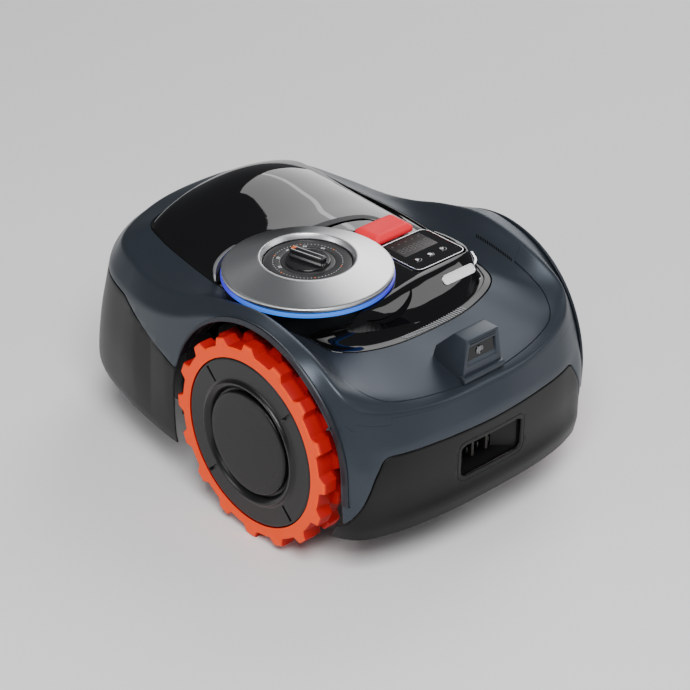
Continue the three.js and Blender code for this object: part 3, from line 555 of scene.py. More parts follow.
def trimmed(bm, field, radius=ROUND):
    """The surface where the field is positive, with its rim rounded inwards."""
    layer = slice_along(bm, field, [0, radius * 0.12, radius * 0.42, radius])
    keep_above(bm, layer)
    bm.normal_update()
    for vert in bm.verts:
        inside = vert[layer]
        if inside < radius:
            depth = radius - math.sqrt(max(radius ** 2 - (radius - inside) ** 2, 0))
            vert.co -= vert.normal * depth
    return bm


def signed_distance(points, outline):
    """Distance of 2-D points to a closed outline, positive inside it."""
    start = np.array([tuple(point)[:2] for point in outline])
    edge = np.roll(start, -1, axis=0) - start
    rel = points[:, None] - start
    share = np.clip((rel * edge).sum(2) / (edge ** 2).sum(1), 0, 1)
    near = rel - share[..., None] * edge
    distance = np.sqrt((near ** 2).sum(2)).min(1)
    rise = np.where(edge[:, 1] == 0, 1e-9, edge[:, 1])
    level = points[:, None, 1]
    spans = (start[:, 1] > level) != (start[:, 1] + edge[:, 1] > level)
    left_of = points[:, None, 0] < edge[:, 0] * (level - start[:, 1]) / rise + start[:, 0]
    inside = (spans & left_of).sum(1) % 2 == 1
    return np.where(inside, distance, -distance)


def smooth(value, low, high):
    share = np.clip((value - low) / (high - low), 0, 1)
    return share * share * (3 - 2 * share)


# ---------------------------------------------------------------- casings

BUMPER = rounded(BUMPER_SIDE + [(-x, z) for x, z in reversed(BUMPER_SIDE[1:])], 7)
PORT = rounded_rect(0, 105, 86, 36, 5)
EDGE_LOOP = closed_curve(COVER_EDGE, 112)
PLATEAU_LOOP = rounded(PLATEAU, 14, 5)
HOOD_LOOP = closed_curve(HOOD_RING, 112)


def bumper_field(points):
    return np.minimum(signed_distance(points[:, [0, 2]], BUMPER), BUMPER_BACK - points[:, 1])


def skirt_field(points):
    return signed_distance(points[:, [1, 2]], SKIRT)


def arch_radius(points):
    return np.hypot(points[:, 1] - ARCH["y"], np.maximum(points[:, 2] - ARCH["z"], 0))


def opening_field(points):
    outside = arch_radius(points) - ARCH["r"]
    return np.where(np.abs(points[:, 0]) < ARCH["inner"], UNCUT, outside)


def shell_field(points):
    return np.minimum.reduce([-bumper_field(points) - SEAM, -skirt_field(points) - SEAM,
                              opening_field(points)])


def front_panel_field(points):
    mouth = -signed_distance(points[:, [0, 2]], PORT)
    clear = np.hypot(points[:, 1] - AXLE.y, points[:, 2] - AXLE.z) - ARCH["r"]
    return np.minimum.reduce([bumper_field(points), mouth, np.where(points[:, 1] > -260, clear, UNCUT)])


def casing_surface():
    """The whole outer surface of the casing, from the cover's edge to the bottom edge."""
    loops = [closed_curve(outline, AROUND) for outline in OUTLINES]
    columns = [bend([loop[i] for loop in loops], BEND_REACH) for i in range(AROUND)]
    bm = bmesh.new()
    skin_rows(bm, [list(row) for row in zip(*columns)])
    return bm


def groove(bm, field, width, depth):
    """A V-shaped groove along the zero level of a field; the field fades it out by growing large."""
    layer = slice_along(bm, field, [-width / 2, 0, width / 2])
    bm.normal_update()
    for vert in bm.verts:
        if abs(vert[layer]) < width / 4:
            vert.co -= vert.normal * depth


def hood_seam_field(points):
    distance = signed_distance(points[:, :2], HOOD_LOOP)
    off = (points[:, 1] > HOOD_SEAM["back"]) | (points[:, 2] < HOOD_SEAM["low"])
    return np.where(off, BEYOND, distance)


def make_outer_shell():
    bm = casing_surface()
    settle(bm)
    groove(bm, hood_seam_field, HOOD_SEAM["width"], HOOD_SEAM["depth"])
    trimmed(bm, shell_field)
    shell = finish(bm, "shell", "chassis", "slate", ["outer_shell"], wall=WALL)
    surface_tree = BVHTree.FromObject(shell, bpy.context.evaluated_depsgraph_get())
    make_seam_ribs(surface_tree)
    make_arch_band(surface_tree, -1, "right")
    make_arch_band(surface_tree, 1, "left")


def arch_path():
    """Places along the wheel opening's edge from the front foot over the top, as (y, z, dy, dz, width)."""
    r, low = ARCH["r"], ARCH["foot"]
    path = [(ARCH["y"] - r, low + (ARCH["z"] - low) * i / 14, -1, 0, ARCH["band"] - r) for i in range(14)]
    for i in range(73):
        angle = math.radians(2.2 * i)
        dy, dz = -math.cos(angle), math.sin(angle)
        width = (ARCH["band"] - r) * (1 - 0.8 * max(i - 40, 0) / 32)
        path.append((ARCH["y"] + r * dy, ARCH["z"] + r * dz, dy, dz, width))
    return path


def make_arch_band(surface_tree, side, label):
    """A flat strip standing upright along the wheel opening, turned inwards behind the tyre."""
    def surface_x(y, z):
        hit = surface_tree.ray_cast(Vector((side * 230, y, z)) * MM, Vector((-side, 0, 0)))[0]
        return abs(hit.x) / MM if hit else 0.0

    path = arch_path()
    reach = np.array([max(surface_x(y + dy * 1.8, z + dz * 1.8), surface_x(y + dy * width, z + dz * width))
                      for y, z, dy, dz, width in path])
    padded = np.pad(reach, 6, mode="edge")
    smoothed = np.convolve(padded, np.ones(13) / 13, mode="valid")
    rows = []
    for (y, z, dy, dz, width), x in zip(path, smoothed):
        deep = smooth(190 - z, 0, 20)
        wall = 152 - 9.5 * deep
        section = [(width + 0.7, x - 1.2), (width, x + 0.3), (0.9, x + 0.3), (0.3, x - 0.4), (0.3, wall),
                   (-0.5 - 25.5 * deep, wall), (-0.5 - 25.5 * deep, wall - 1.5), (1.6, wall - 1.5),
                   (1.6, x - 3), (width, x - 3)]
        rows.append([Vector((side * across, y + dy * out, z + dz * out)) for out, across in section])
    # The band takes the darker slate copy: painted shade on a face that stands in shadow.
    finish(stack(rows), "arch_band_" + label, "chassis", "slate_painted_shade", sharp=24)


def resting_on(surface_tree, x, y, turn):
    """A placement on a surface, found from above, leaning with it and turned by some degrees."""
    spot, normal, _, _ = surface_tree.ray_cast(Vector((x, y, 400)) * MM, Vector((0, 0, -1)))
    lean = normal.to_track_quat("Z", "Y").to_matrix().to_4x4()
    return Matrix.Translation(spot / MM) @ lean @ at(0, 0, turn=turn)


def make_seam_ribs(surface_tree):
    """Rows of small notches that carry the hood's joint line on beside the wheels."""
    parts = []
    for side in (-1, 1):
        for i in range(20):
            place = resting_on(surface_tree, side * 141, -150 + i * 2.7, math.degrees(0.6))
            parts.append(moved(prism(rounded_rect(0, 0, 1.1, 4.4, 0.3, 2), -0.5, 0.12), place))
    finish(merged(parts), "seam_ribs", "chassis", "seam")


def port_groove_field(points):
    distance = -signed_distance(points[:, [0, 2]], PORT) - PORT_GROOVE["gap"]
    return np.where(points[:, 1] > -200, BEYOND, distance)


def make_front_bumper():
    bm = casing_surface()
    settle(bm)
    groove(bm, port_groove_field, PORT_GROOVE["width"], PORT_GROOVE["depth"])
    trimmed(bm, front_panel_field)
    finish(bm, "front_panel", "bumper", "black", ["front_bumper"], wall=WALL)


def make_rear_skirt():
    """The rear lower casing, with a crease down each side behind the wheel."""
    bm = casing_surface()
    settle(bm)
    slice_along(bm, lambda p: p[:, 1] - 66, [0])
    for vert in bm.verts:
        y, z = vert.co.y, vert.co.z
        dent = 2.6 * max(0, 1 - abs(y - 66) / 30) * max(min((z - 50) / 60, 1), 0)
        vert.co.x -= math.copysign(dent, vert.co.x) if abs(vert.co.x) > 60 else 0
    for z in GRILLE["heights"]:
        groove(bm, lambda p, z=z: np.where((np.abs(p[:, 0]) > GRILLE["half"]) | (p[:, 1] < 100), BEYOND,
                                           p[:, 2] - z), GRILLE["width"], GRILLE["depth"])
    trimmed(bm, lambda p: np.minimum(skirt_field(p), opening_field(p)))
    finish(bm, "skirt", "chassis", "black", ["rear_skirt"], wall=WALL)


def make_pan_details():
    """Stiffening ribs and screw heads on the floor pan, clear of the cutting deck's well."""
    z = box_mm("chassis_tub")[0].z
    ribs = [prism(rounded_rect(x, -186, 2.4, 44, 1.1, 4), z - 1.4, z + 0.2) for x in range(-90, 91, 30)]
    ribs += [prism(rounded_rect(0, y, 96, 2.4, 1.1, 4), z - 1.4, z + 0.2) for y in (198, 204, 210)]
    finish(bevelled(merged(ribs), 0.4, 2), "pan_ribs", "chassis", "inner")
    screws = []
    spots = ((112, -150), (60, -214), (112, 90), (40, 190))
    for x, y in [(side * x, y) for x, y in spots for side in (-1, 1)]:
        head = soft_profile([(1.6, z + 0.2), (4.2, z + 0.2), (4.2, z - 1), (3.2, z - 1.9), (1.7, z - 1.9),
                             (1.4, z - 0.6)], 0.3, 2)
        screws.append(moved(lathe(head, 28), at(x, y)))
        screws.append(moved(lathe([(0.05, z), (1.65, z), (1.65, z - 0.7), (0.05, z - 0.7)], 6), at(x, y)))
    finish(merged(screws), "pan_screws", "chassis", "steel")


# ---------------------------------------------------------------- glossy cover and island

def crown(y):
    """Height along the centre line, smoothed over the neighbouring stations."""
    return sum(np.interp(y + step, CROWN_Y, CROWN_Z) for step in (-8, -4, 0, 4, 8)) / 5


def dome(x, y):
    """Height of the cover, falling from its crown towards the height of its side edges."""
    top = crown(y)
    reach = np.minimum(np.abs(x) / 124, 1)
    return top - (top - np.interp(y, SIDE_Y, SIDE_Z)) * reach ** 1.9


def ledge_width(y):
    """The lip along the cover's edge is widest at the front."""
    return 2.2 + 5.8 * smooth(-y, 105, 150)


def cover_top(x, y, edge_z, inside):
    """Height of the cover: a lip along the edge, then a roll up to the dome."""
    lip = ledge_width(y)
    share = np.clip((inside - lip) / ROLL, 0, 1)
    lift = 0.2 * min(inside, lip)
    return edge_z + lift + (dome(x, y) - edge_z - lift) * (1 - (1 - share) ** 2.3)


def cover_edge_field(points):
    """Distance in from the cover's edge, in widths of the lip along it."""
    return signed_distance(points[:, :2], EDGE_LOOP) / ledge_width(points[:, 1])


def stripe_field(points):
    """Distance from the middle of the reveal that runs behind the stop bar."""
    path = np.array([(-20, -2), (20, -1), (55, 0), (70, -2.5), (79, -9), (83, -22), (84, -40)], float)
    start, edge = path[:-1], np.diff(path, axis=0)
    rel = points[:, None, :2] - start
    share = np.clip((rel * edge).sum(2) / (edge ** 2).sum(1), 0, 1)
    return np.sqrt(((rel - share[..., None] * edge) ** 2).sum(2)).min(1)


def make_cover():
    loop = closed_curve(COVER_EDGE, AROUND)
    centre = Vector((0, 10, 0))
    shares = [0.02] + [0.06 * i for i in range(1, 13)] + [0.75 + 0.0125 * i for i in range(21)]
    rows = []
    for share in shares:
        spots = [centre + (edge - centre) * share for edge in loop]
        inside = signed_distance(np.array([spot.xy for spot in spots]), [edge.xy for edge in loop])
        rows.append([Vector((spot.x, spot.y, cover_top(spot.x, spot.y, edge.z, max(depth, 0))))
                     for spot, edge, depth in zip(spots, loop, inside)])
    bm = bmesh.new()
    grid = skin_rows(bm, rows)
    bm.faces.new(list(reversed(grid[0])))
    settle(bm)
    if sum(face.normal.z for face in bm.faces) < 0:
        bmesh.ops.reverse_faces(bm, faces=bm.faces)
    layer = slice_along(bm, cover_edge_field, [1, 1.15])
    for vert in bm.verts:
        if vert[layer] > 1.1:
            vert.co.z -= 1.3
    layer = slice_along(bm, stripe_field, [3.3, 3.9])
    for vert in bm.verts:
        if vert[layer] < 3.6:
            vert.co.z -= 1.1
    x, y, width, depth = plan("stop_button")
    slot = rounded_rect(x, y, width + 2 * STOP_GAP, depth + 2 * STOP_GAP, 6)
    trimmed(bm, lambda p: np.minimum(signed_distance(p[:, :2], EDGE_LOOP) - 0.7,
                                     -signed_distance(p[:, :2], slot)), 1.0)
    cover = finish(bm, "cover", "chassis", "gloss", ["deck_cover"], wall=2.2)
    make_ledge_hatch(BVHTree.FromObject(cover, bpy.context.evaluated_depsgraph_get()))


def make_ledge_hatch(surface_tree):
    """Slanting ribs on the lip along the cover's front edge."""
    front = [edge for edge in EDGE_LOOP if edge.y < 0]
    parts = []
    for i in range(HATCH["count"]):
        x = HATCH["start"] + i * HATCH["pitch"]
        edge = min(front, key=lambda spot: abs(spot.x - x))
        place = resting_on(surface_tree, x, edge.y + 5.2, HATCH["turn"])
        parts.append(moved(prism(rounded_rect(0, 0, 1.2, 7.4, 0.4, 2), -0.5, 0.45), place))
    finish(merged(parts), "ledge_hatch", "chassis", "vent")


def ease(value, width):
    """Zero below nought and the value above it, with a soft change over a width."""
    return (value + np.sqrt(value * value + width * width)) / 2


def island_top(x, y):
    """Height of the display island: level round the display, then a long slope to the front."""
    x, y = np.atleast_1d(x), np.atleast_1d(y)
    left = ease(14 - x, 8)
    fall = ease(-signed_distance(np.column_stack((x, y)), PLATEAU_LOOP), 1.8)
    return ISLAND_TOP - left * 0.085 - fall * 1.12 - 0.012 * fall * fall


def island_height(x, y):
    return float(island_top(x, y)[0])


def height_field(low, high, step, height):
    """A grid of faces over a rectangle of the plan, facing up."""
    xs, ys = (np.arange(low[k], high[k], step) for k in (0, 1))
    x, y = (part.ravel() for part in np.meshgrid(xs, ys, indexing="ij"))
    bm = bmesh.new()
    verts = [bm.verts.new(point) for point in zip(x, y, height(x, y))]
    for i in range(len(xs) - 1):
        for j in range(len(ys) - 1):
            at = i * len(ys) + j
            bm.faces.new([verts[k] for k in (at, at + len(ys), at + len(ys) + 1, at + 1)])
    return bm


def make_island():
    outline = np.array([tuple(point) for point in rounded(ISLAND, 16, 8)])

    def height(x, y):
        base = dome(x, y) - 6
        inside = signed_distance(np.column_stack((x, y)), outline)
        rise = 1 - (1 - np.clip(inside / 11, 0, 1)) ** 2.4
        return base + (np.maximum(island_top(x, y), base) - base) * rise

    bm = height_field((-98, -166), (114, -46), 1.6, height)
    x, y, width, depth = plan("display_trim")
    well = rounded_rect(x, y, width + 3.5, depth + 3.5, 10)
    trimmed(bm, lambda p: np.minimum(-signed_distance(p[:, :2], well),
                                     signed_distance(p[:, :2], outline)), 0.8)
    finish(bm, "island", "chassis", "gloss", ["control_panel"], wall=1.6)
    low = box_mm("display_trim")[0]
    seat = prism(rounded_rect(x, y, width + 5, depth + 5, 10), low.z - 1.5, low.z - 0.2)
    finish(seat, "display_seat", "chassis", "gloss")


def ribbon(path, widths, height, thick, name, material):
    """A thin strip laid along a plan path on a surface given by its height."""
    bm = bmesh.new()
    rows = []
    for i, (point, width) in enumerate(zip(path, widths)):
        ahead = path[min(i + 1, len(path) - 1)] - path[max(i - 1, 0)]
        across = Vector((-ahead.y, ahead.x, 0)).normalized()
        spots = [point + across * width * share for share in (-0.5, -0.25, 0.25, 0.5)]
        rows.append([bm.verts.new((spot.x, spot.y, height(spot.x, spot.y))) for spot in spots])
    for first, second in zip(rows, rows[1:]):
        for k in range(3):
            bm.faces.new((first[k], first[k + 1], second[k + 1], second[k]))
    settle(bm)
    if sum(face.normal.z for face in bm.faces) < 0:
        bmesh.ops.reverse_faces(bm, faces=bm.faces)
    return finish(bm, name, "chassis", material, wall=thick)


def make_island_slot():
    """A curved dark slot low on the island's slope."""
    corners = [Vector(p) for p in ((2, -141, 0), (-3, -147, 0), (-20, -153, 0), (-44, -155, 0),
                                   (-64, -152, 0))]
    path = bend(corners, [0, 6, 12, 14, 0], 6, 3)
    widths = [0.4 + 3.4 * math.sin(math.pi * i / (len(path) - 1)) ** 0.7 for i in range(len(path))]
    ribbon(path, widths, lambda x, y: island_height(x, y) + 0.2, 0.6, "island_slot", "seam")


# ---------------------------------------------------------------- height control

def at_disc(bm):
    return moved(bm, at(DISC.x, DISC.y))


def make_disc_set():
    r, z = DISC_R, box_mm("metal_disc")[0].z
    disc = [(r - 2, z), (r, z + 1), (r, z + 4.2), (r - 1.8, z + 5.6), (52, z + 17.2), (49.6, z + 17.2),
            (46.8, z + 12.2), (46.8, z)]
    finish(at_disc(lathe(soft_profile(disc, [0.5, 0.6, 0.5, 0.9, 1.2, 0.6, 0.3, 0.3], 4), 192)),
           "disc", "chassis", "disc", ["metal_disc"], sharp=60)
    low, high = box_mm("light_ring")
    ring = [(r - 1.6, low.z), (r + 0.9, low.z + 0.4), (r + 0.9, high.z - 0.4), (r - 1.6, high.z)]
    finish(at_disc(lathe(soft_profile(ring, 0.4, 3), 192)), "light_guide", "chassis", "light",
           ["light_ring"])
    foot = [(64, 205), (r - 6, 205), (r - 3.2, 224), (r - 3.2, z - 1.7), (64, z - 1.7)]
    finish(at_disc(lathe(soft_profile(foot, [0.5, 3, 6, 0.8, 0.5], 5), 160)), "pedestal", "chassis",
           "gloss", ["disc_pedestal"])


def make_collar():
    """A satin crescent standing behind the disc, on the side away from the display."""
    rows = []
    for i in range(41):
        share = i / 40
        angle = math.radians(90 + 50 * share)
        swell = math.sin(math.pi * share) ** 0.5
        inner, outer = 94.4, 94.9 + 4.6 * swell
        rows.append([Vector((DISC.x + r * math.cos(angle), DISC.y + r * math.sin(angle), z)) for r, z in (
            (inner, 236), (outer, 236), (outer, 243), (outer - 1.2 * swell, 244.6), (inner, 245))])
    finish(stack(rows), "disc_collar", "chassis", "badge", sharp=60)


def make_reveal():
    """A matt strip along the line where the stop bar's field meets the dome."""
    corners = [Vector(p) for p in ((-12, 1.5, 0), (20, 1, 0), (52, 0, 0), (76, -4, 0), (85, -20, 0),
                                   (86, -50, 0))]
    path = bend(corners, [0, 20, 20, 14, 14, 0], 6, 4)
    ribbon(path, [7.4] * len(path), lambda x, y: dome(x, y) + 0.15, 0.5, "cover_reveal", "inner")


def make_dial():
    low, high = box_mm("dial_plate")
    top = high.z
    plate = [(9, low.z + 2), (45.8, low.z + 2), (45.8, top - 0.3), (45.2, top), (29, top),
             (28.4, top - 0.5), (27.8, top), (9, top)]
    finish(at_disc(lathe(soft_profile(plate, 0.2, 2), 160)), "dial", "chassis", "dial",
           ["dial_plate"])
    marks = {"white": [], "orange": []}
    for i in range(60):
        angle = 2 * math.pi * i / 60
        major = i % 10 == 0
        size = 0.85 if major else 0.48
        bm = lathe([(0.05, top - 0.1), (size, top - 0.1), (size * 0.9, top + 0.12), (0.05, top + 0.14)], 12)
        place = at(DISC.x + 36 * math.cos(angle), DISC.y + 36 * math.sin(angle))
        marks["orange" if major else "white"].append(moved(bm, place))
    finish(merged(marks["white"]), "dial_dots", "chassis", "white")
    finish(merged(marks["orange"]), "dial_marks", "chassis", "orange")
    for i, text in enumerate(("20", "30", "40", "50", "60")):
        angle = math.radians(162 - 36 * i)
        numeral(text, (DISC.x + 31 * math.cos(angle), DISC.y + 31 * math.sin(angle), top + 0.05),
                angle - math.pi / 2)


def numeral(text, place, turn):
    """A raised numeral on the dial."""
    data = bpy.data.curves.new("numeral_" + text, "FONT")
    data.body = text
    data.size = 4.6 * MM
    data.extrude = 0.06 * MM
    data.align_x = data.align_y = "CENTER"
    letters = bpy.data.objects.new("letters", data)
    bpy.context.scene.collection.objects.link(letters)
    bpy.context.view_layer.update()
    mesh = bpy.data.meshes.new_from_object(letters.evaluated_get(bpy.context.evaluated_depsgraph_get()))
    bpy.data.objects.remove(letters)
    mesh.transform(Matrix.Translation(Vector(place) * MM) @ Matrix.Rotation(turn, 4, "Z"))
    mesh.materials.clear()
    mesh.materials.append(MATERIALS["white"])
    piece = bpy.data.objects.new("numeral_" + text, mesh)
    bpy.context.scene.collection.objects.link(piece)
    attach(piece, "chassis")


KNOB_TURN = 12


def make_knob():
    low, high = box_mm("height_knob")
    base = lathe(soft_profile([(0.2, low.z), (23.4, low.z), (23.8, low.z + 0.5), (22.8, low.z + 1.4),
                               (14, low.z + 1.6), (0.2, low.z + 1.6)], 0.4, 3), 128)
    bar_foot = rounded_rect(0, 0, 10, 46, 3, 5)
    bar_waist = rounded_rect(0, 0, 7.6, 43, 2.6, 5)
    bar_top = rounded_rect(0, 0, 8.4, 44, 2.8, 5)
    rows = [row_at(outline, z) for outline, z in (
        (bar_foot, low.z + 1), (bar_foot, low.z + 2), (bar_waist, low.z + 4), (bar_top, high.z - 1),
        (rounded_rect(0, 0, 7, 42.6, 2.4, 5), high.z))]
    turn = at(0, 0, turn=KNOB_TURN)
    whole = merged([base, bevelled(stack(rows), 0.5, 2)])
    finish(at_disc(moved(whole, turn)), "knob", "height_control", "knob", ["height_knob"])
    edges = [prism(rounded_rect(side * 3.3, 0, 0.5, 38, 0.2, 2), high.z - 0.2, high.z + 0.12)
             for side in (-1, 1)]
    finish(at_disc(moved(merged(edges), turn)), "knob_lines", "height_control", "white")
    strokes = [prism([(-2.6 + k * 1.5, 15.5), (-1.8 + k * 1.5, 15.5), (-1.2 + k * 1.5, 20),
                      (-2.0 + k * 1.5, 20)], high.z - 0.2, high.z + 0.15) for k in range(4)]
    finish(at_disc(moved(merged(strokes), turn)), "knob_mark", "height_control", "orange")


# ---------------------------------------------------------------- display, stop bar and badge

def layered(outline_at, heights):
    return stack([row_at(outline_at(inset), z) for inset, z in heights])


def make_display():
    low, high = box_mm("display_glass")
    cx, cy, w, d = plan("display_glass")
    key_z = high.z - 0.5
    glass = layered(lambda s: rounded_rect(cx, cy, w - 2 * s, d - 2 * s, 8, 8),
                    [(0, low.z), (0, key_z - 0.5), (0.5, key_z)])
    finish(glass, "display_window", "chassis", "glass", ["display_glass"])
    trim_low, trim_high = box_mm("display_trim")
    outer = rounded_rect(cx, cy, w + 3.6, d + 3.6, 10, 8)
    inner = rounded_rect(cx, cy, w + 0.8, d + 0.8, 8.4, 8)
    bm = bmesh.new()
    rows = [row_at(outline, z) for outline, z in (
        (outer, trim_low.z), (outer, trim_high.z - 0.2), (inner, trim_high.z - 0.2), (inner, trim_low.z))]
    skin_rows(bm, rows, closed_rows=True)
    finish(bevelled(bm, 0.25, 2), "display_outline", "chassis", "chrome", ["display_trim"])
    sx, sy = plan("display_screen")[:2]
    panel = layered(lambda s: rounded_rect(sx, sy, 48 - 2 * s, 30 - 2 * s, 1.5, 3),
                    [(0, key_z - 0.6), (0, key_z + 0.06), (0.3, key_z + 0.12)])
    finish(panel, "display_area", "chassis", "screen", ["display_screen"])
    segments = []
    for digit in range(6):
        x0 = sx - 18.5 + digit * 7.4
        for dx, dy, sw, sd in ((0, 4.4, 3.6, 0.7), (0, 0, 3.6, 0.7), (0, -4.4, 3.6, 0.7),
                               (-2.1, 2.2, 0.7, 3.4), (2.1, 2.2, 0.7, 3.4), (-2.1, -2.2, 0.7, 3.4),
                               (2.1, -2.2, 0.7, 3.4)):
            segments.append(prism(rounded_rect(x0 + dx, sy - 4 + dy, sw, sd, 0.2, 2), key_z,
                                  key_z + 0.2))
    finish(merged(segments), "display_segments", "chassis", "segment")
    dots = [moved(lathe([(0.05, key_z), (1.2, key_z), (1.1, key_z + 0.2), (0.05, key_z + 0.22)], 24),
                  at(sx - 19 + i * 9.5, sy + 9.5)) for i in range(5)]
    finish(merged(dots), "display_lamps", "chassis", "segment")


ICONS = {
    "start": [(-2, -2), (2.2, 0), (-2, 2)],
    "home": [(-2.6, 0.2), (0, 2.6), (2.6, 0.2), (1.8, 0.2), (1.8, -2.2), (-1.8, -2.2), (-1.8, 0.2)],
    "ok": [(-2.4, 0.1), (-0.6, -1.9), (2.6, 1.7), (1.9, 2.3), (-0.6, -0.5), (-1.7, 0.7)],
}


def make_keys():
    for name, icon in ICONS.items():
        low, high = box_mm("key_" + name)
        centre, top, r, body = (low + high) / 2, high.z - 0.1, (high.x - low.x) / 2, name + "_key"
        button = soft_profile([(0.1, low.z), (r, low.z), (r, top - 0.4), (r - 0.6, top),
                               (0.1, top - 0.25)], 0.3, 2)
        finish(moved(lathe(button, 48), at(centre.x, centre.y)), "button_" + name, body, "glass",
               ["key_" + name])
        finish(moved(prism(icon, 0, 0.2), at(centre.x, centre.y, top - 0.12)), "icon_" + name, body,
               "white")


def make_stop():
    low, high = box_mm("stop_button")
    cx, cy, w, d = plan("stop_button")
    skirt_z = high.z - 9
    cap_shape = layered(lambda s: rounded_rect(cx, cy, w - 2 * s, d - 2 * s, max(6 - s * 0.5, 3), 8),
                        [(0.8, skirt_z), (0, skirt_z + 0.8), (0, skirt_z + 4.6), (0.5, skirt_z + 5.4),
                         (4.2, high.z - 0.5), (5.2, high.z), (8, high.z), (12, high.z - 0.35)])
    finish(cap_shape, "stop_bar", "stop", "stop", ["stop_button"], sharp=50)
    stem = soft_profile([(0.2, low.z), (6, low.z), (6, skirt_z + 1), (0.2, skirt_z + 1)], 0.3, 2)
    finish(moved(lathe(stem, 48), at(cx, cy)), "stop_stem", "stop", "inner")


def make_badge():
    centre = middle("badge_plate")
    rise = island_height(centre.x, centre.y + 4) - island_height(centre.x, centre.y - 4)
    slope = math.atan2(rise, 8)
    plate = layered(lambda s: rounded_rect(0, 0, 46 - 2 * s, 10.6 - 2 * s, 5.2 - s, 10),
                    [(0, -1), (0, 0.7), (0.35, 1.05), (0.9, 1.05), (1.2, 0.8)])
    z = island_height(centre.x, centre.y) + 1.4
    tilt = Matrix.Translation((centre.x, centre.y, z)) @ Matrix.Rotation(slope, 4, "X")
    finish(moved(plate, tilt), "badge", "chassis", "badge", ["badge_plate"])


def make_corner_highlight():
    """A small bright chrome hook under the display's corner, where it turns towards the cover's side: a painted
    highlight, standing in for the glint on the island's corner.
    """
    corners = [Vector(p) for p in ((84, -143, 227), (101, -139, 230.5), (111, -121, 232))]
    path = bend(corners, [0, 8, 0], 6, 3)
    rows = []
    for i, point in enumerate(path):
        half = 0.5 + 1.3 * math.sin(math.pi * (i + 0.5) / len(path))
        rows.append([point + Vector((dx, dy, dz * half)) for dx, dy, dz in (
            (-1, 1, -1), (0.6, -0.6, -1), (0.9, -0.9, 0), (0.6, -0.6, 1), (-1, 1, 1))])
    finish(stack(rows), "corner_painted_highlight", "chassis", "chrome")


# ---------------------------------------------------------------- camera pod

def make_camera_pod():
    corners = [(22.5, -246.5, 230), (21.5, -227, 231), (24, -204, 208), (29.5, -248.5, 172),
               (29.5, -198, 172)]
    bm = bmesh.new()
    for x, y, z in corners:
        bm.verts.new((-x, y, z))
        bm.verts.new((x, y, z))
    bmesh.ops.convex_hull(bm, input=bm.verts)
    bmesh.ops.dissolve_limit(bm, angle_limit=math.radians(2), verts=bm.verts, edges=bm.edges)
    settle(bm)
    front = min(bm.faces, key=lambda face: face.normal.y)
    bmesh.ops.inset_individual(bm, faces=[front], thickness=3)
    window = {True: (18.6, 221.5), False: (21.5, 200.5)}
    for vert in front.verts:
        half, z = window[vert.co.z > 200]
        vert.co.x = math.copysign(half, vert.co.x)
        vert.co.z = z
        vert.co.y = -246.6
    sunk = bmesh.ops.extrude_face_region(bm, geom=[front])
    bmesh.ops.delete(bm, geom=[front], context="FACES_ONLY")
    for vert in [item for item in sunk["geom"] if isinstance(item, bmesh.types.BMVert)]:
        vert.co.y += 4.2
        vert.co.x *= 0.93
        vert.co.z += 5 if vert.co.z < 205 else -0.6
    finish(bevelled(bm, 1.4, 3, 20), "camera_pod", "chassis", "slate", ["camera_housing"])
    ribs = [moved(prism(rounded_rect(0, 0, 37 - k * 1.2, 0.9, 0.3, 2), -0.3, 0.3),
                  at(0, -247.1 - k * 0.08, 227 - k * 2.4, 90, "X")) for k in range(2)]
    finish(merged(ribs), "brow_ribs", "chassis", "slate")
    sill = [(-246, 184), (-251, 184), (-251.6, 189), (-250.6, 191), (-244, 192.5)]
    bm = stack([[Vector((x, y, z)) for y, z in sill] for x in (-28.8, 28.8)])
    finish(bevelled(bm, 0.9, 3), "pod_sill", "chassis", "slate")
    pane = moved(prism(rounded([(-18.6, -6.4), (18.6, -6.4), (16.6, 9.6), (-16.6, 9.6)], 1.8, 4), 0, 1),
                 at(0, -242.9, 210.8, 90, "X"))
    finish(pane, "camera_pane", "chassis", "pane", ["camera_window"])
    barrel = soft_profile([(0.1, 0), (5, 0), (5, 2.2), (4.3, 2.5), (3.4, 1.6), (2, 1.4), (0.1, 1.6)],
                          0.2, 3)
    finish(moved(lathe(barrel, 64), at(-2, -242.6, 212.4, 90, "X")), "camera_eye", "chassis", "lens",
           ["camera_lens"])


# ---------------------------------------------------------------- charging port

def make_port():
    """A funnel from the mouth in the bumper to the dark throat that holds the contacts."""
    low, high = box_mm("charge_socket")
    throat = rounded([(-26, 94), (14, 94), (14, 117.5), (-26, 117.5)], 1.5, 6)
    mouth = rounded_rect(0, 105, 83, 33, 4, 6)
    flange = rounded_rect(0, 105, 92, 42, 6, 6)
    rows = [[Vector((x, y, z)) for x, z in outline] for outline, y in (
        (flange, low.y + 2.5), (flange, low.y + 0.4), (mouth, low.y + 0.4), (mouth, low.y + 1.6))]
    matched = match_outline(mouth, throat)
    rows += [[Vector((x, y, z)) for x, z in matched] for y in (high.y - 14, high.y - 2.5)]
    bm = bmesh.new()
    grid = skin_rows(bm, rows)
    bm.faces.new(grid[-1])
    settle(bm)
    finish(bm, "port_funnel", "bumper", "black", ["charge_socket"], wall=1.2, sharp=40)


def match_outline(first, second):
    """The second outline, started at the corner that lies nearest to the first one's start."""
    def corner(point, outline):
        cx = sum(p[0] for p in outline) / len(outline)
        cz = sum(p[1] for p in outline) / len(outline)
        return (point[0] > cx, point[1] > cz)
    step = next(k for k in range(len(second)) if all(
        corner(second[(k + i) % len(second)], second) == corner(first[i], first)
        for i in range(0, len(first), 3)))
    return [second[(step + i) % len(second)] for i in range(len(second))]


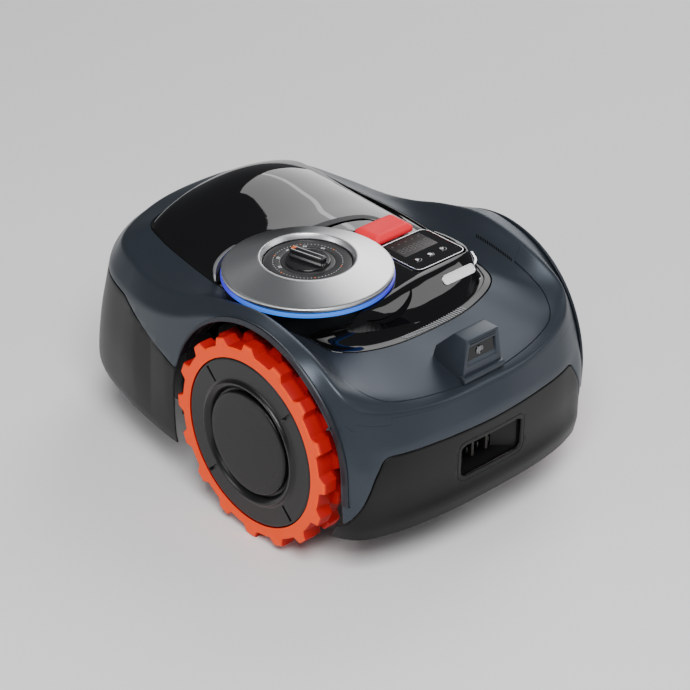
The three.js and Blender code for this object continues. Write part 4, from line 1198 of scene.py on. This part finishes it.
def make_contact_guides():
    """Three slim ribs in the throat, beside and between the contacts."""
    low = box_mm("charge_socket")[0]
    ribs = []
    for x in (-21.5, -6, 9.5):
        bm = prism([(-1, 0), (1, 0), (1, 13), (0, 14.5), (-1, 13)], -3.5, 3.5)
        ribs.append(moved(bm, at(x, low.y + 24, 104, 180)))
    finish(bevelled(merged(ribs), 0.3, 2), "contact_guides", "bumper", "knob")


# ---------------------------------------------------------------- wheels

def lug(share):
    """Height share of a lug at a place along its pitch, with hollow flanks."""
    off = abs((share % 1) - 0.5)
    return min(max((0.27 - off) / 0.13, 0), 1) ** 1.5


def make_tyre(side, label):
    width = plan("tyre_" + label)[2]
    mid = width / 2
    # Each row: place across the tyre, radius, and the share of the outer and the inner band's lugs.
    rows = [(0.2, 93, 0, 0), (0, 99, 0, 0), (0, 103.5, 0.9, 0), (1.0, 105, 0.97, 0), (2.2, ROOT, 1, 0),
            (mid * 0.5, ROOT, 1, 0), (mid - 3, ROOT, 1, 0), (mid - 1.4, ROOT - 0.2, 0.9, 0),
            (mid - 0.7, ROOT - 0.5, 0, 0), (mid + 0.7, ROOT - 0.5, 0, 0), (mid + 1.4, ROOT - 0.2, 0, 0.9),
            (mid + 3, ROOT, 0, 1), (mid * 1.5, ROOT, 0, 1), (width - 2.2, ROOT, 0, 1),
            (width - 1.0, 105, 0, 0.97), (width, 103.5, 0, 0.9), (width, 99, 0, 0), (width, 93, 0, 0)]
    count = LUGS * 50
    bm = bmesh.new()
    layers = []
    for across, radius, outer, inner in rows:
        layer = []
        for i in range(count):
            angle = 2 * math.pi * i / count
            share = LUGS * (i / count - 0.75) + 0.5
            r = radius + (TIP - ROOT) * (outer * lug(share) + inner * lug(share + 0.5))
            layer.append(Vector((side * (WHEEL_FACE - across), AXLE.y + r * math.cos(angle),
                                 AXLE.z + r * math.sin(angle))))
        layers.append(layer)
    skin_rows(bm, layers, closed_rows=True)
    finish(settle(bm), "tread_" + label, "drive_wheel_" + label, "tread",
           ["tyre_" + label], sharp=24)


def slit_lathe(profile, slits, half_width, span, depth):
    """A lathe whose face has narrow radial slits at given angles, over a span of radii."""
    angles = {2 * math.pi * i / 144 for i in range(144)}
    for slit in slits:
        for offset in (-1.25, -1, 1, 1.25):
            angles.add(slit + offset * half_width)
    angles = sorted(angles)
    bm = bmesh.new()
    rows = []
    for r, z in profile:
        row = []
        for angle in angles:
            near = min(abs((angle - slit + math.pi) % (2 * math.pi) - math.pi) for slit in slits)
            sunk = near < half_width * 1.1 and span[0] <= r <= span[1] and z > profile[0][1] + 5
            row.append(Vector((r * math.cos(angle), r * math.sin(angle), z - (depth if sunk else 0))))
        rows.append(row)
    skin_rows(bm, rows, closed_rows=True)
    return settle(bm)


def make_rim(side, label):
    face = WHEEL_FACE - 0.4
    back = face - 32
    profile = [(8, back), (92.3, back), (92.3, face - 2.4), (91.9, face - 1), (91, face - 0.3),
               (89.6, face), (89.2, face), (72.4, face), (71.4, face), (69.6, face + 0.4),
               (67.9, face + 1.8), (67.3, face + 3.2), (66.6, face + 3.7), (65.6, face + 3.7),
               (64.4, face + 3.2), (61.5, face + 0.6), (60.2, face - 2.2), (59, face - 3.4), (8, face - 3.4)]
    slits = [math.radians(45 + 90 * k) for k in range(4)]
    bm = slit_lathe(profile, slits, 0.017, (72, 89.4), 3)
    finish(onto_axle(bm, side), "wheel_rim_" + label, "drive_wheel_" + label, "rim",
           ["rim_" + label], sharp=28)


def make_hub(side, label):
    top = WHEEL_FACE + 2.4
    dome = [(54 - 2 * k, top - 0.5 + 0.5 * (1 - ((54 - 2 * k) / 54) ** 2)) for k in range(0, 26, 3)]
    profile = [(0.3, top - 6), (56.6, top - 6), (56.8, top - 2.2), (56.2, top - 1.2), (55, top - 0.6)]
    profile += dome + [(0.3, top)]
    finish(onto_axle(lathe(profile, 160), side), "hub_" + label, "drive_wheel_" + label, "hub",
           ["hub_cap_" + label], sharp=40)


def make_caster_wheel(label):
    low, high = box_mm("caster_wheel_" + label)
    centre = (low + high) / 2
    half, r = (high.x - low.x) / 2, (high.z - low.z) / 2
    profile = soft_profile([(4.6, -half), (12, -half), (14, -half + 2.5), (24, -half + 2.5), (25.5, -half),
                            (r - 4, -half), (r, -half + 5), (r, half - 5), (r - 4, half), (25.5, half),
                            (24, half - 2.5), (14, half - 2.5), (12, half), (4.6, half)],
                           [0.3, 0.8, 0.8, 0.8, 0.8, 2, 3, 3, 2, 0.8, 0.8, 0.8, 0.8, 0.3], 4)
    finish(moved(lathe(profile, 96), at(*centre, 90, "Y")), "caster_tread_" + label, "roller_" + label, "rubber",
           ["caster_wheel_" + label])


# ---------------------------------------------------------------- frame parts that stay as they are

KEPT = {
    "inner": ["arch_liner_right", "arch_liner_left", "stop_switch", "antenna_module", "chassis_tub",
              "caster_fork_right", "caster_fork_left", "deck_carriage"],
    "steel": ["knob_spindle", "wheel_axle_right", "wheel_axle_left", "caster_axle_right", "caster_axle_left",
              "guide_rod_right", "guide_rod_left", "rotor_bolt", "blade_a", "blade_b", "blade_c",
              "blade_screw_a", "blade_screw_b", "blade_screw_c"],
    "motor": ["drive_motor_right", "drive_motor_left", "blade_motor"],
    "brass": ["charge_contact_right", "charge_contact_left"],
    "battery": ["battery_pack"], "board": ["main_board"], "rim": ["blade_disc"],
}


def dress_kept_nodes():
    for material, names in KEPT.items():
        for name in names:
            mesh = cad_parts[name].data
            mesh.materials.clear()
            mesh.materials.append(MATERIALS[material])


# ---------------------------------------------------------------- making it all

make_camera()
make_studio()
MATERIALS = make_materials()
dress_kept_nodes()
make_outer_shell()
make_front_bumper()
make_rear_skirt()
make_pan_details()
make_cover()
make_island()
make_island_slot()
make_disc_set()
make_collar()
make_reveal()
make_dial()
make_knob()
make_display()
make_keys()
make_stop()
make_badge()
make_corner_highlight()
make_camera_pod()
make_port()
make_contact_guides()
for wheel_side, wheel_label in ((-1, "right"), (1, "left")):
    make_tyre(wheel_side, wheel_label)
    make_rim(wheel_side, wheel_label)
    make_hub(wheel_side, wheel_label)
    make_caster_wheel(wheel_label)
